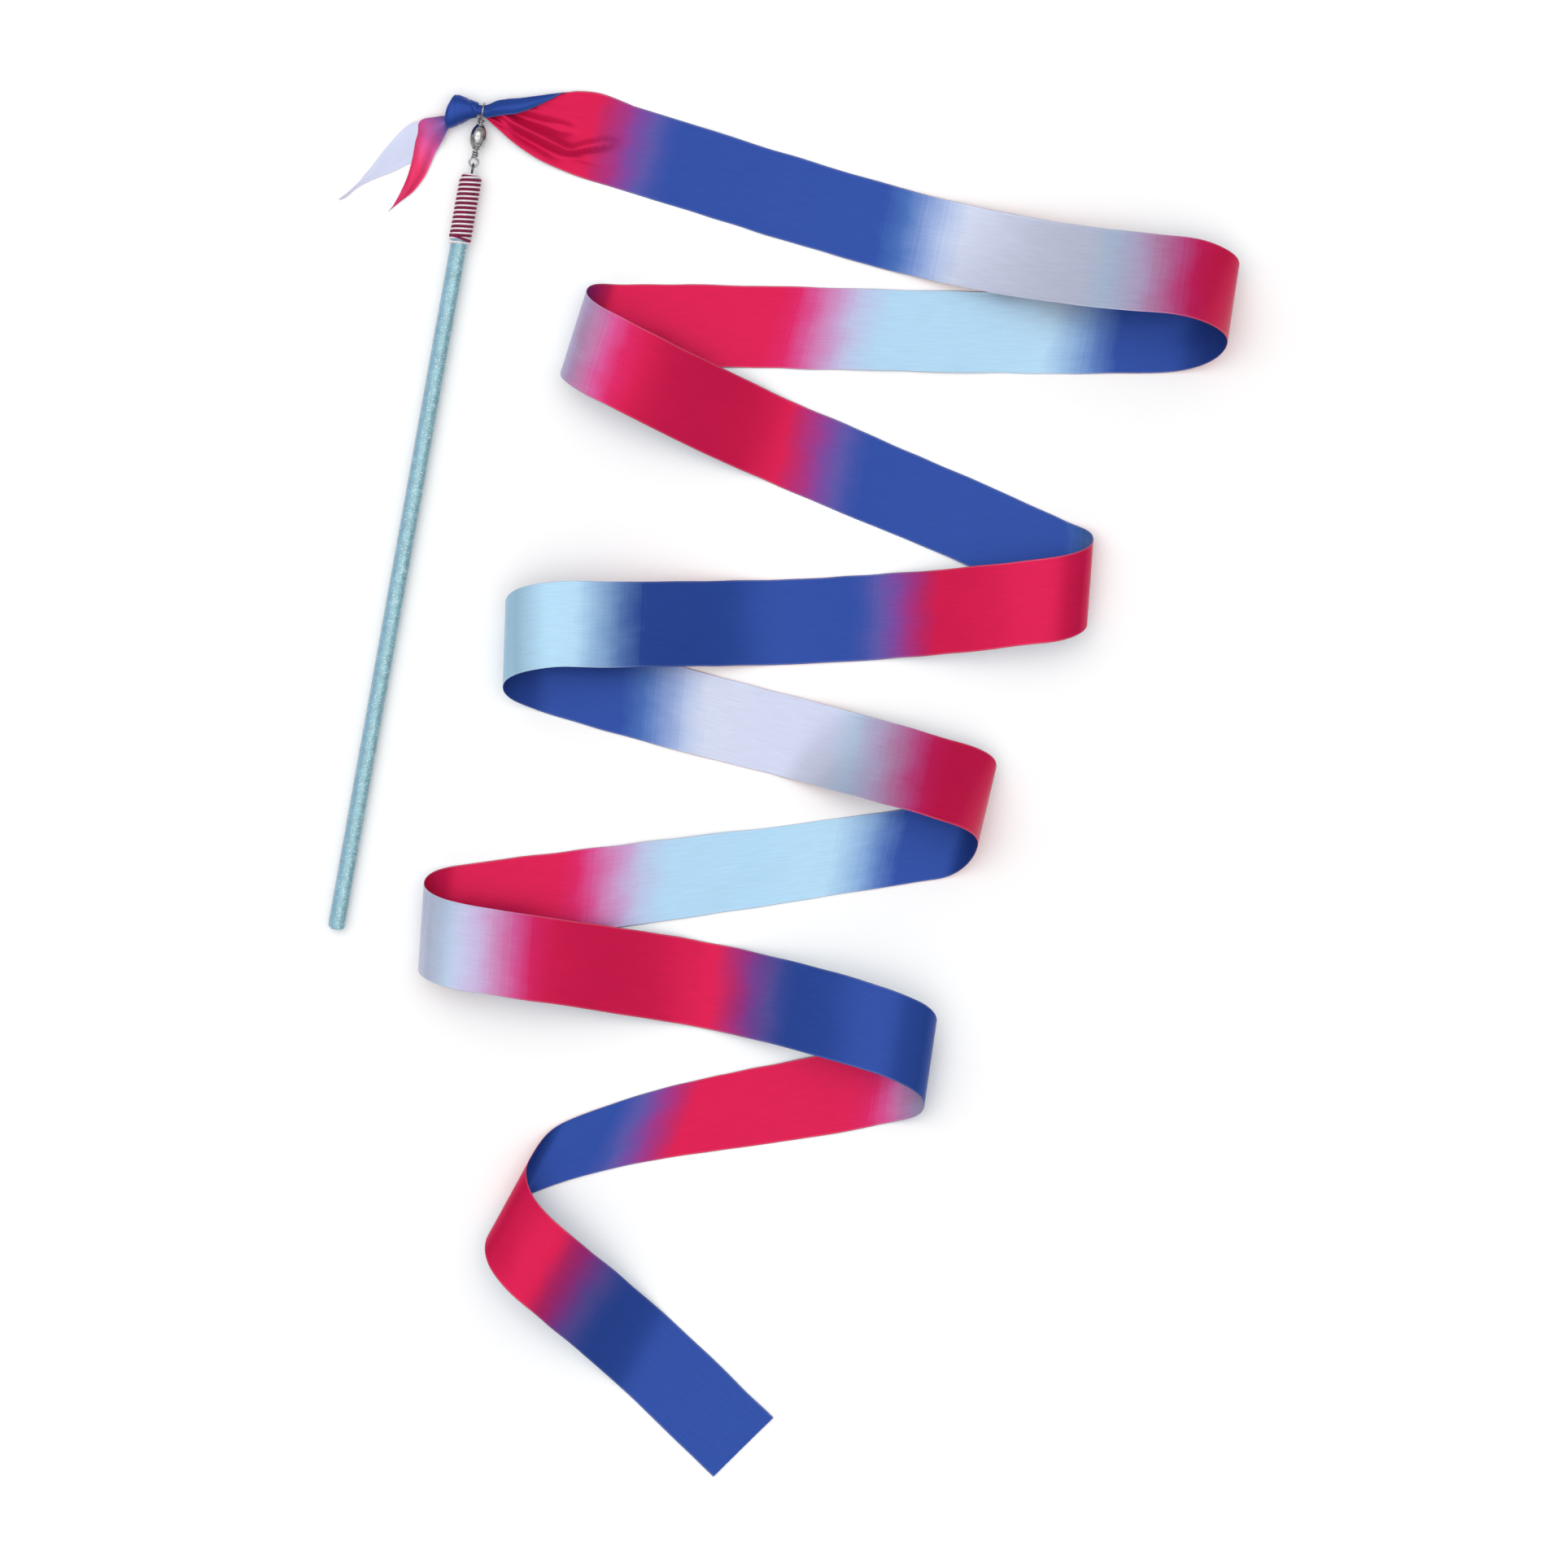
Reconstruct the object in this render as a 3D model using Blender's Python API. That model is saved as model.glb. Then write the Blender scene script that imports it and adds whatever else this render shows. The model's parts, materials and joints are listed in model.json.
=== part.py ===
import math

import bmesh
import bpy
from mathutils import Vector

# Sizes are in millimetres and angles in degrees. The object lies on a table, seen from
# above with X to the right and Y away. The layout is moved at the end, so that the origin
# is under the middle of the whole outline.

# Satin ribbon
RIBBON_WIDTH = 50.0
RIBBON_THICKNESS = 0.4
CREASE_LENGTH = 1.02 * RIBBON_WIDTH  # the ribbon crosses each fold at a slight slant
LEG_SPANS = 13
HOOK_SPANS = 5

# Wand, measured along its axis. Zero is the top of the whipping.
WAND_TOP = (-185.1, 362.2)  # where the top of the whipping lies on the table
WAND_HEADING = 79.8  # direction from the butt to the ribbon
ROD_RADIUS = 5.1
ROD_LENGTH = 456.0
ROD_TOP = -0.9
BUTT_FILLET = 3.4
BUTT_FLAT = ROD_RADIUS - BUTT_FILLET
TIP_CHAMFER = 1.2

# Whipping of two strands wound side by side
WHIPPING_LENGTH = 43.0
WHIPPING_TURNS = 14.5
CRIMSON_RADIUS = 0.62
WHITE_RADIUS = 0.5
WHIPPING_GAP = 0.35  # to the rod
WHIPPING_OUTSIDE = ROD_RADIUS + WHIPPING_GAP + 2 * CRIMSON_RADIUS

# Wire loops and swivel
WIRE_RADIUS = 0.65
LOOSE = 0.3  # free play between pieces that move
SMALL_LOOP = 2.6  # from the middle of a loop to the middle of its wire
NECK_LOOP = 4.4
EYE_MIDDLE = 3.35
LOWER_LOOP_MIDDLE = EYE_MIDDLE + 2 * SMALL_LOOP - 2 * WIRE_RADIUS - LOOSE
COIL_RADIUS = 2 * WIRE_RADIUS + 0.15
COIL_PITCH = 2 * WIRE_RADIUS + 0.15
COIL_LEAD = 0.8  # from the side of a loop to the start of its coil
LOWER_COIL_TURNS = 2.25
UPPER_COIL_TURNS = 1.5
LOWER_COIL = COIL_LEAD + LOWER_COIL_TURNS * COIL_PITCH + WIRE_RADIUS
UPPER_COIL = COIL_LEAD + UPPER_COIL_TURNS * COIL_PITCH + WIRE_RADIUS
BARREL_START = LOWER_LOOP_MIDDLE + SMALL_LOOP + LOWER_COIL + LOOSE
BARREL_LENGTH = 15.2
BARREL_RADIUS = 5.05
BARREL_WALL = 0.9
STEM_HOLE = WIRE_RADIUS + 0.35
HEAD_RADIUS = 2.1
HEAD_THICKNESS = 1.5
SHANK_LENGTH = 20.0
SHANK_RADIUS = 0.9
SHANK_BORE = SHANK_RADIUS + LOOSE

# The neck of the ribbon runs through the upper loop, square to the wand
NECK_RADIUS = 3.4
NECK_AT = BARREL_START + BARREL_LENGTH + LOOSE + UPPER_COIL + NECK_LOOP
KNOT_PROFILE = (  # distance along the neck, then radius
    (-2.5, 3.3), (-3.6, 5.2), (-5.6, 6.6), (-6.6, 9.0), (-9.5, 10.2),
    (-13.5, 9.6), (-17.5, 8.8), (-20.4, 6.6), (-21.8, 3.0),
)
KNOT_HEIGHT = 0.68  # share of its width
FAN = (  # distance along the neck, reach to each edge, thickness
    (-2.2, 3.1, 3.1, 6.2), (2.6, 3.2, 3.2, 6.2), (5.6, 5.6, 6.0, 5.0),
    (10.0, 8.0, 9.2, 3.9), (17.5, 11.0, 14.2, 2.9), (27.0, 14.2, 20.4, 2.1),
    (37.0, 17.6, 25.6, 1.5), (48.0, 21.0, 29.4, 1.0), (60.0, 23.0, 31.0, 0.7),
)

# The cut end of the ribbon, beyond the knot: a swallowtail, measured from the neck
TAIL_OUTLINE = (
    (-22.9, 0.9), (-35.7, -4.0), (-44.3, -6.8), (-57.5, -21.4), (-86.5, -52.4),
    (-68.7, -40.8), (-42.5, -31.0), (-45.4, -41.2), (-57.5, -59.6), (-52.1, -53.3),
    (-41.0, -43.6), (-27.4, -21.4), (-22.9, -9.5),
)
TAIL_THICKNESS = 0.5

# Where the full width of ribbon starts and where it ends
START = dict(x=-95.7, y=379.0, lean=15.5, heading=-17.0)
END = dict(x=-23.7, y=-395.7, lean=45.5, heading=-44.5)

# Each fold of the zigzag, in order. "lean" turns the crease clockwise from Y, "rise" is how
# high the loop stands and "tilt" raises its lower end. "over" names the leg that is on top.
# "enter" and "leave" are the reach of the bend along X, its drop along Y and the heading of
# the leg there. "run" is the length over which the top leg comes down to the table.
FOLDS = (
    dict(side=1, x=267.0, y=283.4, lean=9.5, rise=44.0, tilt=16.0, over="enter", run=165.0,
         enter=(40.5, 17.0, -4.0), leave=(40.0, 15.5, 181.0)),
    dict(side=-1, x=-124.2, y=268.1, lean=17.5, rise=34.0, tilt=0.0, over="leave", run=120.0,
         enter=(22.0, 4.5, 180.0), leave=(25.0, 19.0, -27.5)),
    dict(side=1, x=182.5, y=119.5, lean=4.2, rise=30.0, tilt=0.0, over="leave", run=110.0,
         enter=(17.0, 11.5, -25.0), leave=(26.0, 11.5, 187.0)),
    dict(side=-1, x=-165.3, y=81.7, lean=1.8, rise=40.0, tilt=2.0, over="enter", run=130.0,
         enter=(36.5, 12.0, 180.0), leave=(30.5, 16.5, -17.5)),
    dict(side=1, x=120.9, y=-14.8, lean=13.8, rise=38.0, tilt=18.0, over="enter", run=100.0,
         enter=(28.0, 17.5, -17.0), leave=(24.0, 19.5, 189.0)),
    dict(side=-1, x=-214.7, y=-84.8, lean=3.7, rise=34.0, tilt=0.0, over="leave", run=150.0,
         enter=(23.0, 11.0, 187.5), leave=(31.5, 13.5, -9.0)),
    dict(side=1, x=87.5, y=-166.9, lean=8.3, rise=38.0, tilt=0.0, over="enter", run=110.0,
         enter=(30.0, 20.5, -18.0), leave=(29.0, 12.0, 193.0)),
    dict(side=-1, x=-162.8, y=-246.2, lean=28.7, rise=36.0, tilt=0.0, over="leave", run=90.0,
         enter=(23.0, 23.0, 203.0), leave=(18.5, 37.5, -40.0)),
)


def toward(heading):
    return Vector((math.cos(math.radians(heading)), math.sin(math.radians(heading)), 0.0))


def up_crease(lean):
    return Vector((math.sin(math.radians(lean)), math.cos(math.radians(lean)), 0.0))


def hermite(start, start_pull, end, end_pull, u):
    return (start * (1 - 3 * u * u + 2 * u ** 3) + start_pull * (u - 2 * u * u + u ** 3)
            + end * (3 * u * u - 2 * u ** 3) + end_pull * (u ** 3 - u * u))


def smooth(u):
    u = min(max(u, 0.0), 1.0)
    return u * u * (3 - 2 * u)


def fold_points(fold, edge):
    """Entry, tip and exit of one edge round a fold, each as a place and a direction."""
    rise = fold["rise"] - edge * fold["tilt"]
    height_in, height_out = (rise, 0.0) if fold["over"] == "enter" else (0.0, rise)
    half = 0.5 * math.sqrt(CREASE_LENGTH ** 2 - fold["tilt"] ** 2)
    tip = Vector((fold["x"], fold["y"], rise / 2)) + edge * half * up_crease(fold["lean"])
    reach_in, drop_in, heading_in = fold["enter"]
    reach_out, drop_out, heading_out = fold["leave"]
    back = -fold["side"]
    entry = Vector((tip.x + back * reach_in, tip.y + drop_in, height_in))
    leaving = Vector((tip.x + back * reach_out, tip.y - drop_out, height_out))
    pull = -up_crease(fold["lean"]) * (drop_in + drop_out) / 2
    pull.z = (height_out - height_in) / 2
    quarter = math.pi / 2
    return ((entry, quarter * reach_in * toward(heading_in)), (tip, quarter * pull),
            (leaving, quarter * reach_out * toward(heading_out)))


def end_points(at, edge):
    place = Vector((at["x"], at["y"], 0.0)) + edge * RIBBON_WIDTH / 2 * up_crease(at["lean"])
    return place, toward(at["heading"])


def ribbon_edges():
    """The upper and the lower edge of the full-width ribbon, point for point."""
    edges = []
    for edge in (1, -1):
        line = []
        here, pull = end_points(START, edge)
        before = None
        for after in FOLDS + (None,):
            if after:
                entry, tip, leaving = fold_points(after, edge)
            else:
                entry = end_points(END, edge)
            length = (entry[0] - here).to_2d().length
            pull_in = pull.normalized() * length
            pull_out = entry[1].normalized() * length
            raised_before = before and before["over"] == "leave"
            raised_after = after and after["over"] == "enter"
            for i in range(LEG_SPANS + (after is None)):
                u = i / LEG_SPANS
                point = hermite(here, pull_in, entry[0], pull_out, u)
                point.z = 0.0
                if raised_before:
                    point.z += here.z * (1 - smooth(u * length / before["run"]))
                if raised_after:
                    point.z += entry[0].z * (1 - smooth((1 - u) * length / after["run"]))
                line.append(point)
            if not after:
                break
            for first, second in ((entry, tip), (tip, leaving)):
                for i in range(HOOK_SPANS):
                    line.append(hermite(*first, *second, i / HOOK_SPANS))
            here, pull = leaving
            before = after
        edges.append(line)
    return edges


def new_object(name, mesh, origin, material, rounded=True):
    """The mesh is in the layout's millimetres and its origin goes to the given place."""
    bmesh.ops.recalc_face_normals(mesh, faces=mesh.faces)
    bmesh.ops.translate(mesh, verts=mesh.verts, vec=-origin)
    bmesh.ops.scale(mesh, verts=mesh.verts, vec=(0.001, 0.001, 0.001))
    data = bpy.data.meshes.new(name)
    mesh.to_mesh(data)
    mesh.free()
    made = bpy.data.objects.new(name, data)
    bpy.context.scene.collection.objects.link(made)
    made.location = origin * 0.001
    data.materials.append(material)
    for face in data.polygons:
        face.use_smooth = rounded
    if rounded:
        data.set_sharp_from_angle(angle=math.radians(40))
    return made


def skin(mesh, rings, closed=False):
    """Joins rings of the same number of points, and caps the two ends unless it is closed."""
    made = [[mesh.verts.new(point) for point in ring] for ring in rings]
    pairs = list(zip(made, made[1:]))
    if closed:
        pairs.append((made[-1], made[0]))
    for first, second in pairs:
        for i in range(len(first)):
            j = (i + 1) % len(first)
            mesh.faces.new((first[i], first[j], second[j], second[i]))
    if not closed:
        mesh.faces.new(made[0])
        mesh.faces.new(made[-1])


def tube(points, radii, sides):
    """A wire along the points, with a radius at each."""
    mesh = bmesh.new()
    rings = []
    across = None
    for i, point in enumerate(points):
        ahead = points[min(i + 1, len(points) - 1)] - points[max(i - 1, 0)]
        ahead.normalize()
        if across is None:
            across = ahead.orthogonal()
        across = (across - ahead * across.dot(ahead)).normalized()
        other = ahead.cross(across)
        rings.append([point + radii[i] * (math.cos(a) * across + math.sin(a) * other)
                      for a in (2 * math.pi * k / sides for k in range(sides))])
    skin(mesh, rings)
    return mesh


def turned(profile, sides, closed):
    """A solid of revolution about local Z, from points of distance along it and radius."""
    mesh = bmesh.new()
    rings = [[Vector((radius * math.cos(a), radius * math.sin(a), along))
              for a in (2 * math.pi * k / sides for k in range(sides))]
             for along, radius in profile]
    skin(mesh, rings, closed)
    return mesh


class Lying:
    """The wand's own directions: along it, square to it on the table, and square to both."""

    def __init__(self):
        reach = ROD_LENGTH + ROD_TOP - BUTT_FILLET - WHIPPING_LENGTH
        slope = math.asin((WHIPPING_OUTSIDE - ROD_RADIUS) / reach)
        flat = toward(WAND_HEADING)
        self.along = flat * math.cos(slope) + Vector((0, 0, math.sin(slope)))
        self.aside = Vector((flat.y, -flat.x, 0.0))
        self.down = self.along.cross(self.aside)
        height = WHIPPING_OUTSIDE / math.cos(slope) + WHIPPING_LENGTH * math.sin(slope) + 0.03
        self.top = Vector((*WAND_TOP, height))

    def place(self, point):
        return self.top + self.aside * point[0] + self.down * point[1] + self.along * point[2]

    def put(self, name, mesh, at, material):
        for vert in mesh.verts:
            vert.co = self.place(vert.co)
        return new_object(name, mesh, self.place(Vector((0, 0, at))), material)


def loop_wire(start, middle, radius, turns, way, flat_way):
    """A wire from its head, down its stem, round a loop and back round the stem.

    "start" is the inner end of the stem, "way" is 1 when the loop lies farther along the
    wand than the stem, and "flat_way" is the direction across the loop, X or Y.
    """
    def at(across, along, lift=0.0):
        point = Vector((across, lift, along)) if flat_way == "X" else Vector((lift, across, along))
        return point

    points, radii = [], []

    def add(point, size=WIRE_RADIUS):
        points.append(point)
        radii.append(size)

    near = middle - way * radius  # the side of the loop by the stem
    coil_end = near - way * 0.45  # where the stem leaves its coil
    add(at(0, start), HEAD_RADIUS * 0.8)
    add(at(0, start + way * 0.3), HEAD_RADIUS)
    add(at(0, start + way * (HEAD_THICKNESS - 0.05)), HEAD_RADIUS)
    add(at(0, start + way * HEAD_THICKNESS), WIRE_RADIUS)
    add(at(0, (start + way * HEAD_THICKNESS + coil_end) / 2))
    add(at(0, coil_end))

    def round_loop(angle):
        return at(radius * math.sin(angle), middle - way * radius * math.cos(angle))

    def loop_pull(angle, size):
        return at(size * math.cos(angle), way * size * math.sin(angle))

    first, last = math.radians(42), math.radians(318)
    for i in range(1, 4):
        add(hermite(at(0, coil_end), at(0, way * 2.2), round_loop(first),
                    loop_pull(first, 2.2), i / 4))
    steps = 20
    for i in range(steps + 1):
        add(round_loop(first + (last - first) * i / steps))
    coil_angle = math.radians(215)
    pitch_pull = -way * COIL_PITCH / (2 * math.pi)

    def round_stem(angle, along):
        return at(COIL_RADIUS * math.cos(angle), along, COIL_RADIUS * math.sin(angle))

    begin = round_stem(coil_angle, near - way * COIL_LEAD)
    pull = at(-COIL_RADIUS * math.sin(coil_angle), pitch_pull, COIL_RADIUS * math.cos(coil_angle))
    for i in range(1, 4):
        add(hermite(round_loop(last), loop_pull(last, 1.6), begin, pull * 0.9, i / 4))
    per_turn = 12
    for i in range(int(turns * per_turn) + 1):
        angle = 2 * math.pi * i / per_turn
        add(round_stem(coil_angle + angle, begin.z - way * COIL_PITCH * i / per_turn))
    return points, radii


def metal(name, colour, roughness):
    made = bpy.data.materials.new(name)
    made.use_nodes = True
    shader = made.node_tree.nodes["Principled BSDF"]
    shader.inputs["Base Color"].default_value = (*colour, 1.0)
    shader.inputs["Roughness"].default_value = roughness
    shader.inputs["Metallic"].default_value = 1.0
    return made


def dull(name, colour, roughness):
    made = metal(name, colour, roughness)
    made.node_tree.nodes["Principled BSDF"].inputs["Metallic"].default_value = 0.0
    return made


for leftover in list(bpy.data.objects):
    bpy.data.objects.remove(leftover)

lying = Lying()

# Rod: clear acrylic, rounded at the butt and bored at the tip for the eye's shank
butt = ROD_TOP - ROD_LENGTH
bend = [(butt + BUTT_FILLET * (1 - math.cos(a)), BUTT_FLAT + BUTT_FILLET * math.sin(a))
        for a in (math.pi / 2 * i / 6 for i in range(7))]
rod_profile = bend + [
    (ROD_TOP - TIP_CHAMFER, ROD_RADIUS), (ROD_TOP, ROD_RADIUS - TIP_CHAMFER),
    (ROD_TOP, SHANK_BORE), (ROD_TOP - SHANK_LENGTH - LOOSE, SHANK_BORE),
    (ROD_TOP - SHANK_LENGTH - LOOSE - SHANK_BORE * 0.5, 0.12),
]
lying.put("rod", turned(rod_profile, 36, False), EYE_MIDDLE + SMALL_LOOP,
          dull("acrylic_rod", (0.45, 0.68, 0.75), 0.08))

# Eye: a wire ring on a shank that is fixed in the rod
eye_points = [Vector((0, 0, ROD_TOP - SHANK_LENGTH)), Vector((0, 0, ROD_TOP - SHANK_LENGTH + 1.2)),
              Vector((0, 0, ROD_TOP - 1.0)), Vector((0, 0, ROD_TOP - 0.4))]
eye_radii = [0.35, SHANK_RADIUS, SHANK_RADIUS, WIRE_RADIUS]
for i in range(25):
    angle = math.radians(20 + 314 * i / 24)
    eye_points.append(Vector((0, SMALL_LOOP * math.sin(angle),
                              EYE_MIDDLE - SMALL_LOOP * math.cos(angle))))
    eye_radii.append(WIRE_RADIUS)
wand_pivot = LOWER_LOOP_MIDDLE - SMALL_LOOP
lying.put("screw_eye", tube(eye_points, eye_radii, 10), wand_pivot,
          metal("steel_wire", (0.42, 0.43, 0.45), 0.25))


# Whipping: two strands wound side by side over the tip of the rod
def strand(radius, offset):
    steps = int(WHIPPING_TURNS * 14)
    middle = ROD_RADIUS + WHIPPING_GAP + radius
    pitch = (WHIPPING_LENGTH - 2 * CRIMSON_RADIUS) / (WHIPPING_TURNS + 0.5)
    points = []
    for i in range(steps + 1):
        turn = i / 14 + offset
        points.append(Vector((middle * math.cos(2 * math.pi * i / 14),
                              middle * math.sin(2 * math.pi * i / 14),
                              -WHIPPING_LENGTH + CRIMSON_RADIUS + pitch * turn)))
    return tube(points, [radius] * len(points), 6)


lying.put("whipping_crimson", strand(CRIMSON_RADIUS, 0.0), wand_pivot,
          dull("crimson_twine", (0.30, 0.02, 0.09), 0.8))
lying.put("whipping_white", strand(WHITE_RADIUS, 0.5), wand_pivot,
          dull("white_twine", (0.80, 0.74, 0.76), 0.8))

# Swivel: a hollow barrel round the heads of two wire loops
low, high = BARREL_START, BARREL_START + BARREL_LENGTH
barrel_profile = [
    (low, STEM_HOLE), (low, 2.6), (low + 0.35, 3.7), (low + 1.3, 4.7), (low + 2.6, BARREL_RADIUS),
    (high - 2.6, BARREL_RADIUS), (high - 1.3, 4.7), (high - 0.35, 3.7), (high, 2.6),
    (high, STEM_HOLE), (high - BARREL_WALL, STEM_HOLE), (high - BARREL_WALL, 2.6),
    (high - 2.8, BARREL_RADIUS - BARREL_WALL), (low + 2.8, BARREL_RADIUS - BARREL_WALL),
    (low + BARREL_WALL, 2.6), (low + BARREL_WALL, STEM_HOLE),
]
lying.put("swivel_barrel", turned(barrel_profile, 32, True), (low + high) / 2,
          metal("nickel_plate", (0.78, 0.77, 0.75), 0.12))
lower_head = low + BARREL_WALL + LOOSE + HEAD_THICKNESS
upper_head = high - BARREL_WALL - LOOSE - HEAD_THICKNESS
nickel_wire = metal("nickel_wire", (0.70, 0.70, 0.70), 0.18)
lying.put("swivel_loop_lower",
          tube(*loop_wire(lower_head, LOWER_LOOP_MIDDLE, SMALL_LOOP, LOWER_COIL_TURNS, -1, "X"), 8),
          low, nickel_wire)
lying.put("swivel_loop_upper",
          tube(*loop_wire(upper_head, NECK_AT, NECK_LOOP, UPPER_COIL_TURNS, 1, "Y"), 8),
          NECK_AT, nickel_wire)

# Ribbon: gathered to a neck, fanned out to its full width, then folded to and fro
satin = dull("satin_ribbon", (0.75, 0.03, 0.12), 0.35)
neck = lying.place(Vector((0, 0, NECK_AT)))
level_along = toward(WAND_HEADING)


def section(upper, lower, thickness, roundness, normal):
    """Eight points round the ribbon, from a flat strip to a round gather."""
    ring = []
    for face, shares in ((1, (0.0, 0.3, 0.7, 1.0)), (-1, (1.0, 0.7, 0.3, 0.0))):
        for share in shares:
            bulge = 1 - roundness * (0.6 if share in (0.0, 1.0) else 0.05)
            ring.append(upper.lerp(lower, share) + normal * face * thickness / 2 * bulge)
    return ring


rings = []
for along, reach_up, reach_down, thickness in FAN:
    middle = neck + lying.aside * along
    middle.z = max(neck.z * (1 - smooth(along / 60.0)), thickness / 2)
    rings.append(section(middle + level_along * reach_up, middle - level_along * reach_down,
                         thickness, 1 if along < 20 else 0.6, Vector((0, 0, 1))))
upper_edge, lower_edge = ribbon_edges()
lift = Vector((0, 0, RIBBON_THICKNESS / 2))
middles = [(a + b) / 2 for a, b in zip(upper_edge, lower_edge)]
for i, (upper, lower) in enumerate(zip(upper_edge, lower_edge)):
    ahead = middles[min(i + 1, len(middles) - 1)] - middles[max(i - 1, 0)]
    normal = ahead.cross(upper - lower).normalized()
    rings.append(section(upper + lift, lower + lift, RIBBON_THICKNESS, 0, normal))
ribbon_mesh = bmesh.new()
skin(ribbon_mesh, rings)
ribbon = new_object("ribbon", ribbon_mesh, Vector((0, 0, 0)), satin)

# Knot: the ribbon tied on itself beside the loop
knot_mesh = bmesh.new()
knot_rings = []
for along, radius in KNOT_PROFILE:
    ring = []
    for k in range(20):
        a = 2 * math.pi * k / 20
        height = max(-neck.z, KNOT_HEIGHT * radius * math.sin(a))
        ring.append(neck + lying.aside * along + level_along * radius * math.cos(a)
                    + Vector((0, 0, height)))
    knot_rings.append(ring)
skin(knot_mesh, knot_rings)
new_object("ribbon_knot", knot_mesh, neck, satin)

# Swallowtail: the two points of the ribbon's cut end
tail_mesh = bmesh.new()
faces = []
for side in (1, 0):
    layer = []
    for x, y in TAIL_OUTLINE:
        height = 5.0 * (1 - smooth((TAIL_OUTLINE[0][0] - x) / 30.0)) + side * TAIL_THICKNESS
        layer.append(tail_mesh.verts.new((neck.x + x, neck.y + y, height)))
    faces.append(layer)
count = len(TAIL_OUTLINE)
for i in range(count):
    j = (i + 1) % count
    tail_mesh.faces.new((faces[0][i], faces[0][j], faces[1][j], faces[1][i]))
tail_pieces = ((0, 1, 11, 12), (1, 2, 6, 10, 11), (2, 3, 5, 6), (3, 4, 5), (6, 7, 10), (7, 8, 9, 10))
for piece in tail_pieces:
    tail_mesh.faces.new([faces[0][i] for i in piece])
    tail_mesh.faces.new([faces[1][i] for i in reversed(piece)])
new_object("ribbon_tail", tail_mesh, neck, satin, rounded=False)

# The origin goes under the middle of the whole outline
bpy.context.view_layer.update()
corners = [made.matrix_world @ Vector(corner) for made in bpy.data.objects
           for corner in made.bound_box]
lowest = Vector([min(corner[i] for corner in corners) for i in range(3)])
highest = Vector([max(corner[i] for corner in corners) for i in range(3)])
shift = Vector((-(lowest.x + highest.x) / 2, -(lowest.y + highest.y) / 2, -lowest.z))
for made in bpy.data.objects:
    made.location = made.location + shift
print("outline", [round(1000 * v, 2) for v in highest - lowest])
print("shift", [round(1000 * v, 3) for v in shift])
for label, along in (("neck", NECK_AT), ("swivel", (low + high) / 2), ("wand", wand_pivot)):
    spot = lying.place(Vector((0, 0, along))) * 0.001 + shift
    print(label, [round(v, 5) for v in spot])
print("aside", [round(v, 5) for v in lying.aside], "along", [round(v, 5) for v in lying.along])
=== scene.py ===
import json
import math

import bmesh
import bpy
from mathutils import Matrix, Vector, noise


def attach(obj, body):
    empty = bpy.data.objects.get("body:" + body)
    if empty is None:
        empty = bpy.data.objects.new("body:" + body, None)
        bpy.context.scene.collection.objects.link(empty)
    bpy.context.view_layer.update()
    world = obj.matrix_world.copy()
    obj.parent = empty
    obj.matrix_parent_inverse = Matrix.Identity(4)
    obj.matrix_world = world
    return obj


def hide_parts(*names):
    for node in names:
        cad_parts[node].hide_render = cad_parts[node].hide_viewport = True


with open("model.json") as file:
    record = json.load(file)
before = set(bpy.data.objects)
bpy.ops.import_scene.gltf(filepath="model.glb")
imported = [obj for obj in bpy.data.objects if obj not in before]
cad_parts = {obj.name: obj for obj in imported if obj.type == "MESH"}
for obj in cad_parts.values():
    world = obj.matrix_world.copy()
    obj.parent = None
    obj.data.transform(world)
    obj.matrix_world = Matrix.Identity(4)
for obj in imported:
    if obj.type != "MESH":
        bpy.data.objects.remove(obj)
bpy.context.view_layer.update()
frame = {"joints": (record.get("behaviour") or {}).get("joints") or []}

# Shapes are worked out in millimetres and turned to metres when a piece is made.
millimetre = 0.001
joints = {joint["name"]: joint for joint in frame["joints"]}


# Small tools: colour, nodes and meshes

def hexColour(value):
    # sRGB hex to the linear values that sockets take
    parts = [int(value[i:i + 2], 16) / 255 for i in (0, 2, 4)]
    linear = [p / 12.92 if p <= 0.04045 else ((p + 0.055) / 1.055) ** 2.4 for p in parts]
    return (*linear, 1.0)


def perMetre(size):
    # The scale of a pattern whose real size is given in mm
    return 1 / (size * millimetre)


def newMaterial(name):
    material = bpy.data.materials.new(name)
    material.use_nodes = True
    tree = material.node_tree
    return material, tree, tree.nodes["Principled BSDF"]


def addNode(tree, kind, inputs=None, **settings):
    # inputs: socket name or number -> a value, or the output socket that feeds it
    node = tree.nodes.new(kind)
    for key, value in settings.items():
        setattr(node, key, value)
    for key, value in (inputs or {}).items():
        if isinstance(value, bpy.types.NodeSocket):
            tree.links.new(value, node.inputs[key])
        else:
            node.inputs[key].default_value = value
    return node


def setRamp(ramp, stops):
    # stops: (place, hex colour)
    elements = ramp.color_ramp.elements
    while len(elements) < len(stops):
        elements.new(0.5)
    for element, (place, colour) in zip(elements, stops):
        element.position = place
        element.color = hexColour(colour)


def setShader(shader, **values):
    # Names with spaces are written joined, such as CoatRoughness. An output socket is linked.
    for socket in shader.inputs:
        value = values.get(socket.name.replace(" ", ""))
        if isinstance(value, bpy.types.NodeSocket):
            shader.id_data.links.new(value, socket)
        elif value is not None:
            socket.default_value = value


def toward(heading):
    return Vector((math.cos(math.radians(heading)), math.sin(math.radians(heading)), 0.0))


def upCrease(lean):
    return Vector((math.sin(math.radians(lean)), math.cos(math.radians(lean)), 0.0))


def smooth(u):
    u = min(max(u, 0.0), 1.0)
    return u * u * (3 - 2 * u)


def hermite(start, startPull, end, endPull, u):
    return (start * (1 - 3 * u * u + 2 * u ** 3) + startPull * (u - 2 * u * u + u ** 3)
            + end * (3 * u * u - 2 * u ** 3) + endPull * (u ** 3 - u * u))


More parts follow.
